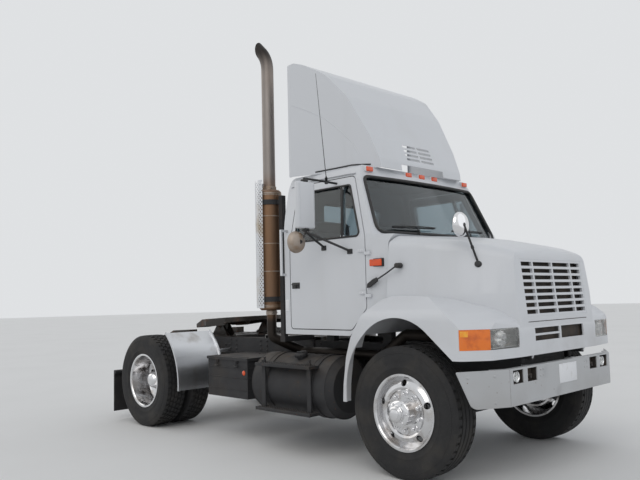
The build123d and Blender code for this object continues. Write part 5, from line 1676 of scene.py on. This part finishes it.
def filler_cap(bm, sign):
    """A ribbed cap with its grip bar on the neck of a fuel tank."""
    neck = at(-1.30, sign * 0.96, 0.862)
    out = Vector((0, sign * 0.38, 0.92)).normalized()
    place = facing(neck, out)
    add_rod(bm, neck - out * 0.03, neck + out * 0.035, 0.050, 0.050, 32, 0.003)
    add_rod(bm, neck + out * 0.030, neck + out * 0.062, 0.060, 0.056, 24, 0.006)
    for number in range(12):
        angle = math.tau * number / 12
        rib = place @ Vector((0.058 * math.cos(angle), 0.058 * math.sin(angle), 0.047))
        add_rod(bm, rib - out * 0.010, rib + out * 0.010, 0.006, sides=8)
    add_bar(bm, [place @ Vector((x, 0, 0.067)) for x in (-0.045, 0.045)], 0.008, 8)


def tank_fittings():
    """Caps, weld seams, the edges of the straps with their bolts, and the studs of the steps."""
    caps, seams, treads = bmesh.new(), bmesh.new(), bmesh.new()
    for _, sign in SIDES:
        spot = on_side(sign)
        filler_cap(caps, sign)
        weld = [(0.2795, -0.006), (0.2825, -0.003), (0.2825, 0.003), (0.2795, 0.006)]
        for x in TANK_ENDS:
            add_turned(seams, weld, spot(x, *TANK_AXIS), X, 64)
        edge = [(0.282, -0.003), (0.2885, -0.002), (0.2885, 0.002), (0.282, 0.003)]
        for x in TANK_STRAPS:
            for dx in (-0.031, 0.031):
                add_turned(seams, edge, spot(x + dx, *TANK_AXIS), X, 64)
            add_rod(seams, spot(x, 1.13, 0.868), spot(x, 1.13, 0.835), 0.008, sides=12)
            hex_nut(seams, spot(x, 1.13, 0.864), Z, 0.014, 0.012)
    piece("tank_caps", caps, CHASSIS, "chassis", "black_paint")
    piece("tank_seams", seams, CHASSIS, "chassis", "black_paint")
    for sign in BOTH:
        spot = on_side(sign)
        for top in STEP_TOPS:
            for row in range(3):
                y = 1.098 + row * 0.038
                for column in range(22):
                    x = -1.690 + column * 0.0325 + (0.016 if row % 2 else 0)
                    add_rod(treads, spot(x, y, top - 0.002), spot(x, y, top + 0.0055), 0.0085, 0.006, 8)
            add_box(treads, spot(-1.712, 1.196, top - 0.028), spot(-0.968, 1.2005, top + 0.003), 0.001)
    piece("step_treads", treads, CHASSIS, "chassis", "black_paint")


AIR_TANKS = (0.580, 0.830)
AIR_TANK_Z = 0.700
BOX_TOP = 0.829


def battery_details():
    """Latches, pressed ribs, lid strips and the marker lamp of the battery box."""
    bm, marks = bmesh.new(), bmesh.new()
    for x in (-2.58, -2.25):
        add_box(bm, at(x - 0.020, -1.0125, 0.770), at(x + 0.020, -1.002, 0.812), 0.003)
        add_bar(bm, [at(x - 0.035, -1.018, 0.745), at(x, -1.022, 0.738), at(x + 0.035, -1.018, 0.745)],
                0.007, 8)
        add_bar(bm, [at(x, -1.016, 0.742), at(x, -1.018, 0.800)], 0.006, 8)
    for z in (0.50, 0.62, 0.72):
        add_box(bm, at(-2.735, -1.004, z), at(-2.095, -0.999, z + 0.012), 0.002)
        add_box(bm, at(-2.0805, -0.985, z), at(-2.0765, -0.45, z + 0.012), 0.001)
    for y in (-0.48, -0.56):
        hex_nut(bm, at(-2.415, y, BOX_TOP), Z, 0.008, 0.006)
    for y in (-0.96, -0.50):
        add_box(bm, at(-2.70, y, BOX_TOP), at(-2.13, y + 0.02, BOX_TOP + 0.005), 0.002)
    piece("battery_latches", bm, CHASSIS, "chassis", "black_paint")
    lens = [(0.0, 0.012), (0.016, 0.010), (0.024, 0.003), (0.0245, 0.0), (0.0, 0.0)]
    add_turned(marks, lens, at(-2.14, -0.9995, 0.68), -Y, 28)
    piece("battery_marker", marks, SUNSET, "chassis", "lens")


def air_tank_details():
    """Weld seams, straps, end plugs and drain nuts of the two air tanks on the left."""
    bm = bmesh.new()
    weld = [(0.1115, -0.004), (0.1140, -0.002), (0.1140, 0.002), (0.1115, 0.004)]
    strap = [(0.1115, -0.016), (0.1150, -0.015), (0.1150, 0.015), (0.1115, 0.016)]
    plug = [(0.0, 0.022), (0.012, 0.021), (0.020, 0.010), (0.020, 0.0), (0.0, 0.0)]
    for y in AIR_TANKS:
        for section, x, steps in ((weld, -2.725, 40), (weld, -2.115, 40), (strap, -2.63, 40),
                                  (strap, -2.17, 40), (plug, -2.061, 16)):
            add_turned(bm, section, at(x, y, AIR_TANK_Z), X, steps)
        hex_nut(bm, at(-2.40, y, 0.589), -Z, 0.015, 0.016)
    piece("air_tank_bands", bm, CHASSIS, "chassis", "black_paint")


FLAP_REAR = -4.460


def flap_details():
    """Upright ribs on the mudflaps, and the strip that bolts each to its hanger."""
    ribs, bolts = bmesh.new(), bmesh.new()
    for sign in BOTH:
        spot = on_side(sign)
        for number in range(9):
            y = 0.640 + number * 0.065
            add_box(ribs, spot(FLAP_REAR - 0.0002, y - 0.004, 0.13),
                    spot(FLAP_REAR + 0.001, y + 0.004, 0.52), 0.0004)
        add_box(bolts, spot(FLAP_REAR + 0.0102, 0.605, 0.552), spot(FLAP_REAR + 0.014, 1.195, 0.588), 0.001)
        for number in range(5):
            hex_nut(bolts, spot(FLAP_REAR + 0.014, 0.64 + number * 0.13, 0.570), X, 0.009, 0.007)
    piece("flap_ribs", ribs, RUBBER, "chassis", "black_rubber")
    piece("flap_bolts", bolts, STAINED, "chassis", "black_paint")


COUPLING = (-3.350, 1.205)
COUPLING_LEAN = 3
PIVOT_DROP = 0.085
JAW_RADII = (0.0275, 0.052)
HANDLE = ((0.045, -0.040, -0.050), (0.220, -0.110, -0.050), (0.245, -0.300, -0.052), (0.245, -0.500, -0.060),
          (0.215, -0.512, -0.062))


def coupling_details():
    """Jaw, release handle and pins of the fifth wheel, whose plate leans a little to the rear."""
    x, z = COUPLING
    tilt = Matrix.Translation(at(x, 0, z)) @ Matrix.Rotation(math.radians(-COUPLING_LEAN), 4, "Y")
    jaw = bmesh.new()
    ring = arc(JAW_RADII[1], -90, 90, 12) + arc(JAW_RADII[0], 90, -90, 12)
    add_plate(jaw, [tilt @ Vector((*point, -0.050)) for point in ring], tilt.to_3x3() @ Vector((0, 0, 0.030)))
    add_bar(jaw, [tilt @ Vector(point) for point in HANDLE], 0.0095, 10)
    piece("coupling_jaw", jaw, GREASY, "fifth_wheel", "greasy_steel")
    pins = bmesh.new()
    lean = math.radians(COUPLING_LEAN)
    pivot = at(x + PIVOT_DROP * math.sin(lean), 0, z - PIVOT_DROP * math.cos(lean))
    for sign in BOTH:
        out = Y * sign
        add_rod(pins, pivot + out * 0.409, pivot + out * 0.416, 0.040, 0.038, 28, 0.002)
        add_rod(pins, pivot + out * 0.412, pivot + out * 0.424, 0.017, 0.015, 6, 0.002)
        for dx in (-0.22, -0.10, 0.10, 0.22):
            hex_nut(pins, at(-3.346 + dx, sign * 0.355, 1.002), Z, 0.016, 0.014, 0.010)
    piece("coupling_pins", pins, CAST, "chassis", "greasy_steel")


# Under the hood

FAN_HUB = (0.500, 0, 1.250)
FAN_BLADE = ((-0.010, -0.020, 0.06), (0.012, 0.024, 0.06), (0.014, 0.062, 0.26), (-0.012, -0.052, 0.26))
# middle and radius of each pulley: fan, crank, alternator, compressor
PULLEYS = ((0.0, 1.250, 0.062), (0.0, 0.860, 0.095), (-0.21, 1.390, 0.045), (0.20, 1.060, 0.070))


def engine_castings():
    """Rocker covers, manifold, pan bolts and filters on the sides of the engine block."""
    bm = bmesh.new()
    for number in range(3):
        x = -0.150 + number * 0.200
        add_box(bm, at(x, -0.115, 1.558), at(x + 0.185, 0.115, 1.612), 0.018, 3)
        for y in (-0.10, 0.10):
            for dx in (0.025, 0.16):
                hex_nut(bm, at(x + dx, y, 1.560), Z, 0.009, 0.018)
    add_box(bm, at(-0.17, 0.298, 1.36), at(0.43, 0.345, 1.45), 0.018, 3)
    for number in range(6):
        x = -0.13 + number * 0.098
        add_rod(bm, at(x, 0.250, 1.53), at(x, 0.322, 1.42), 0.024, 0.026, 20)
    for z in (0.98, 1.10, 1.22):
        for y in (-0.306, 0.298):
            add_box(bm, at(-0.19, y, z), at(0.46, y + 0.008, z + 0.016), 0.003)
    for number in range(9):
        for sign in BOTH:
            for z in (0.80, 1.52):
                hex_nut(bm, at(-0.17 + number * 0.075, sign * 0.298, z), Y * sign, 0.009, 0.010)
    filter_can = [(0.0, -0.10), (0.046, -0.098), (0.052, -0.09), (0.052, 0.09), (0.044, 0.10), (0.0, 0.10)]
    for x in (-0.02, 0.09):
        add_turned(bm, filter_can, at(x, 0.358, 0.98), Z, 32)
    piece("engine_castings", bm, CAST, "chassis", "cast_metal")


def fan():
    bm = bmesh.new()
    hub = at(*FAN_HUB)
    add_turned(bm, [(0.0, -0.030), (0.070, -0.028), (0.075, 0.0), (0.070, 0.018), (0.0, 0.020)], hub, X, 32)
    for number in range(8):
        turn = Matrix.Rotation(math.tau * number / 8, 4, "X")
        place = Matrix.Translation(hub) @ turn
        add_plate(bm, [place @ Vector(point) for point in FAN_BLADE],
                  turn.to_3x3() @ Vector((0.003, -0.001, 0)))
    piece("fan", bm, GLOSS_BLACK, "chassis", "cast_metal")


def radiator_fins():
    bm = bmesh.new()
    for number in range(60):
        y = -0.300 + number * 0.010
        add_box(bm, at(0.6245, y, 0.93), at(0.6275, y + 0.003, 1.57))
    for z in (0.880, 1.590):
        add_box(bm, at(0.600, -0.335, z), at(0.632, 0.335, z + 0.045), 0.008, 3)
    cap = [(0.0, 0.030), (0.022, 0.028), (0.026, 0.012), (0.026, 0.0), (0.0, 0.0)]
    add_turned(bm, cap, at(0.592, 0.22, 1.639), Z, 28)
    piece("radiator_fins", bm, CHASSIS, "chassis", "black_paint")


def pulleys():
    bm = bmesh.new()
    for y, z, size in PULLEYS:
        inner = size - 0.010
        section = [(0.0, -0.004), (inner, -0.004), (size, -0.002), (size - 0.005, 0.006), (size, 0.014),
                   (inner, 0.016), (0.0, 0.016)]
        add_turned(bm, section, at(0.481, y, z), X, 36)
    piece("pulleys", bm, STAINED, "chassis", "cast_metal")


def lug_shade_boxes():
    """Black boxes in the rubber finish over the hood's two hinge lugs: painted shade that hides the lugs
    below the hood's lip.
    """
    bm = bmesh.new()
    for sign in BOTH:
        low, high = sorted((sign * 0.428, sign * 0.452))
        add_box(bm, at(0.713, low, 0.907), at(0.7525, high, 0.945), 0.004)
    piece("lug_shade_boxes", bm, RUBBER, "hood", "black_rubber")


# Seats

SEAT_PLACES = (("right", -0.470), ("left", 0.450))
CUSHION_SIDE = ((-1.262, 1.442), (-0.862, 1.442), (-0.842, 1.468), (-0.840, 1.520), (-0.872, 1.546),
                (-1.262, 1.540))
BACK_SIDE = ((-1.345, 1.478), (-1.276, 1.492), (-1.258, 1.572), (-1.338, 2.150), (-1.360, 2.176),
             (-1.428, 2.176), (-1.438, 2.150))
PAD_HALF = 0.236
PAD_VOXEL = 0.008
LAST_FRAME = 20
TRAVEL = 0.016
SEWN_SIDE = 0.158
SEWN_TOP = 2.06
SEAM_HALF = 0.0045
CUSHION_RIBS = (-1.170, -1.085, -1.000, -0.915)
BACK_RIBS = (1.655, 1.745, 1.835, 1.925, 2.015)
CUSHION_PIPING = ((-1.248, -0.222, 1.552), (-0.872, -0.222, 1.556), (-0.872, 0.222, 1.556),
                  (-1.248, 0.222, 1.552))
BACK_PIPING = ((-1.250, -0.222, 1.585), (-1.338, -0.222, 2.150), (-1.338, 0.222, 2.150),
               (-1.250, 0.222, 1.585))


def evaluated_mesh(pad):
    """The mesh that a piece's modifiers give."""
    depsgraph = bpy.context.evaluated_depsgraph_get()
    return bpy.data.meshes.new_from_object(pad.evaluated_get(depsgraph))


def blow_up(pad):
    """Runs the cloth simulation under pressure, and applies it up to a longest travel."""
    rest = [vert.co.copy() for vert in pad.data.vertices]
    cloth = pad.modifiers.new("air", "CLOTH")
    settings = cloth.settings
    settings.quality = 5
    settings.use_pressure = True
    settings.uniform_pressure_force = 4
    settings.vertex_group_mass = "held"
    settings.effector_weights.gravity = 0
    cloth.point_cache.frame_start = 1
    cloth.point_cache.frame_end = LAST_FRAME
    for number in range(1, LAST_FRAME + 1):
        bpy.context.scene.frame_set(number)
    blown = evaluated_mesh(pad)
    for place, vert in zip(rest, blown.vertices):
        step = vert.co - place
        if step.length > TRAVEL:
            vert.co = place + step.normalized() * TRAVEL
    pad.modifiers.clear()
    pad.data = blown
    bpy.context.scene.frame_set(1)


def puffed(name, side, held_line):
    """A closed pad blown up by a cloth simulation, held along its sewn channels and where it rests."""
    bm = bmesh.new()
    add_plate(bm, [at(x, -PAD_HALF, z) for x, z in side], (0, 2 * PAD_HALF, 0))
    bmesh.ops.recalc_face_normals(bm, faces=bm.faces)
    rounded(bm, bm.edges[:], 0.016, 3)
    pad = linked(name, mesh_of(name, bm))
    grid = pad.modifiers.new("grid", "REMESH")
    grid.mode = "VOXEL"
    grid.voxel_size = PAD_VOXEL
    pad.data = evaluated_mesh(pad)
    pad.modifiers.clear()
    held = pad.vertex_groups.new(name="held")
    for vert in pad.data.vertices:
        sunk = held_line(vert.co, vert.normal)
        if sunk is not None:
            vert.co -= vert.normal * sunk
            held.add([vert.index], 1, "REPLACE")
    blow_up(pad)
    pad.vertex_groups.clear()
    for face in pad.data.polygons:
        face.use_smooth = True
    return pad


def sewn(offset):
    return abs(offset) < SEAM_HALF


def cushion_line(place, normal):
    """How far a point of the cushion is sewn down, or None where the cloth is free."""
    x, y, z = place.x - FRONT, abs(place.y), place.z
    if normal.z > 0.6:
        if sewn(y - SEWN_SIDE):
            return 0.012
        if y < SEWN_SIDE and any(sewn(x - rib) for rib in CUSHION_RIBS):
            return 0.008
    return 0.0 if z < 1.447 or x < -1.255 else None


def back_line(place, normal):
    """The same for a point of the backrest."""
    y, z = abs(place.y), place.z
    if normal.x > 0.6:
        if sewn(y - SEWN_SIDE) and z < SEWN_TOP or sewn(z - SEWN_TOP):
            return 0.012
        if y < SEWN_SIDE and any(sewn(z - rib) for rib in BACK_RIBS):
            return 0.008
    return 0.0 if normal.x < -0.8 or z < 1.49 else None


def seat_piping(name, y, cushion, back):
    """Piping round the pads' faces, laid on the finished cloth."""
    bm = bmesh.new()
    for pad, corners in ((cushion, CUSHION_PIPING), (back, BACK_PIPING)):
        loop = []
        ring = round_loop([at(*corner) for corner in corners], 0.035, 5)
        for here, after in zip(ring, ring[1:] + ring[:1]):
            count = max(1, round((after - here).length / 0.02))
            for number in range(count):
                _, place, normal, _ = pad.closest_point_on_mesh(here.lerp(after, number / count))
                loop.append(place + normal * 0.001)
        add_bar(bm, loop, 0.0042, 8, closed=True)
    bmesh.ops.translate(bm, vec=(0, y, 0), verts=bm.verts)
    piece(name, bm, PLASTIC, "chassis", "cab_plastic", 60)


def seat_frame(name, y):
    """Pan, back tubes and hinge knobs."""
    bm = bmesh.new()
    add_box(bm, at(-1.300, y - 0.215, 1.425), at(-0.870, y + 0.215, 1.441), 0.006, 3)
    top = (-1.452, 2.120)
    for edge in (-0.205, 0.205):
        tube = [at(x, y + edge, z) for x, z in ((-1.300, 1.435), (-1.372, 1.470), top)]
        add_bar(bm, tube, 0.010, 10)
    add_bar(bm, [at(top[0], y + edge, top[1]) for edge in (-0.205, 0.205)], 0.010, 10)
    for edge in (-0.246, 0.246):
        add_rod(bm, at(-1.300, y + edge * 0.94, 1.475), at(-1.300, y + edge, 1.475), 0.030, 0.026, 24, 0.003)
    piece(name, bm, PLASTIC, "chassis", "cab_plastic")


def seat_bellows(name, y):
    """The folded rubber skirt over the suspension of a seat."""
    bm = bmesh.new()
    wall = [(0.0, 0.0)]
    for number in range(6):
        wall += [(0.150, 0.012 + number * 0.032), (0.172, 0.028 + number * 0.032)]
    wall += [(0.150, 0.204), (0.0, 0.204)]
    add_turned(bm, wall, at(-1.110, y, 1.215), Z, 40)
    piece(name, bm, RUBBER, "chassis", "black_rubber")


def seats():
    """One cushion and one backrest are blown up, and both are copied to each seat."""
    cushion = puffed("seat_cushion", CUSHION_SIDE, cushion_line)
    back = puffed("seat_back", BACK_SIDE, back_line)
    for side, y in SEAT_PLACES:
        for pad in (cushion, back):
            made = linked(pad.name + "_" + side, pad.data.copy())
            made.data.transform(Matrix.Translation((0, y, 0)))
            made.data.materials.clear()
            made.data.materials.append(CLOTH)
            fine = made.modifiers.new("fine", "SUBSURF")
            fine.levels = 1
            fine.render_levels = 1
            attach(made, "chassis")
            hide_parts("seats")
        seat_piping("seat_piping_" + side, y, cushion, back)
        seat_frame("seat_frame_" + side, y)
        seat_bellows("seat_bellows_" + side, y)
    for pad in (cushion, back):
        bpy.data.objects.remove(pad)


# Stage

def stage():
    bm = bmesh.new()
    bmesh.ops.create_circle(bm, cap_ends=True, segments=64, radius=70)
    finish = Finish("studio_floor", (0.80, 0.80, 0.79), 0.95)
    finish.patches(0.6, 4, 0.3, 0.8, (0.775, 0.775, 0.765))
    floor = linked("floor", mesh_of("floor", bm))
    floor.data.materials.append(finish.material)


def backdrop():
    """Even pale light all round, and a plain field for what the camera, the metal and the glass see."""
    world = bpy.data.worlds.new("studio")
    world.use_nodes = True
    bpy.context.scene.world = world
    tree = world.node_tree
    light = tree.nodes["Background"]
    light.inputs["Color"].default_value = (0.90, 0.94, 1.0, 1)
    light.inputs["Strength"].default_value = 0.5
    seen = tree.nodes.new("ShaderNodeBackground")
    seen.inputs["Color"].default_value = (0.74, 0.755, 0.77, 1)
    seen.inputs["Strength"].default_value = 1.0
    rays = tree.nodes.new("ShaderNodeLightPath")
    share = rays.outputs["Is Camera Ray"]
    for name in ("Is Transmission Ray", "Is Glossy Ray"):
        either = tree.nodes.new("ShaderNodeMath")
        either.operation = "MAXIMUM"
        tree.links.new(share, either.inputs[0])
        tree.links.new(rays.outputs[name], either.inputs[1])
        share = either.outputs[0]
    mix = tree.nodes.new("ShaderNodeMixShader")
    tree.links.new(share, mix.inputs["Fac"])
    tree.links.new(light.outputs[0], mix.inputs[1])
    tree.links.new(seen.outputs[0], mix.inputs[2])
    tree.links.new(mix.outputs[0], tree.nodes["World Output"].inputs["Surface"])


def sun(name, place, strength, spread, colour):
    """A broad soft lamp, the same over the whole stage; spread in degrees."""
    data = bpy.data.lights.new(name, "SUN")
    data.energy = strength
    data.angle = math.radians(spread)
    data.color = colour
    made = linked(name, data)
    made.rotation_mode = "QUATERNION"
    made.rotation_quaternion = (-Vector(place)).to_track_quat("-Z", "Y")


CAMERA_PLACE = (5.2925, -5.387, 1.435)
CAMERA_RIGHT = (0.70015, 0.71360, -0.02383)
CAMERA_UP = (0.07502, -0.04034, 0.99636)
CAMERA_BACK = (0.71004, -0.69939, -0.08178)


def camera():
    """At the photograph's angle: ahead of the truck on its right, a little below eye level."""
    data = bpy.data.cameras.new("camera")
    data.sensor_width = 36
    data.lens = 38.77
    data.clip_end = 300
    made = linked("camera", data)
    turn = Matrix((CAMERA_RIGHT, CAMERA_UP, CAMERA_BACK)).transposed()
    made.matrix_world = Matrix.Translation(CAMERA_PLACE) @ turn.to_4x4()
    bpy.context.scene.camera = made


for make in (
    dress_nodes, tyres, wheel_trim, window_seals, wipers, door_mirrors, hood_mirror, headlamps, roof_lamps,
    side_and_tail_lamps, grille_shade_sheets, bumper_pockets, fog_lamps, bumper_bolts, front_plate, heat_shield,
    exhaust_bands, hood_latches, skins, fairing_lines, door_fittings, dash_panels, dash_dials, dash_controls,
    gear_lever, pedals, floor_and_visors, spring_packs, frame_bolts, axle_details, deck_grip, tank_fittings,
    battery_details, air_tank_details, flap_details, coupling_details, engine_castings, fan, radiator_fins,
    pulleys, lug_shade_boxes, seats, stage, backdrop,
):
    make()
sun("key", (5, -9, 9), 0.75, 50, (1.0, 0.97, 0.93))
sun("fill", (9, 7, 6), 0.25, 60, (0.93, 0.96, 1.0))
sun("back", (-9, -3, 6), 0.35, 50, (1.0, 0.95, 0.88))
camera()
bpy.context.scene.view_settings.view_transform = "Standard"
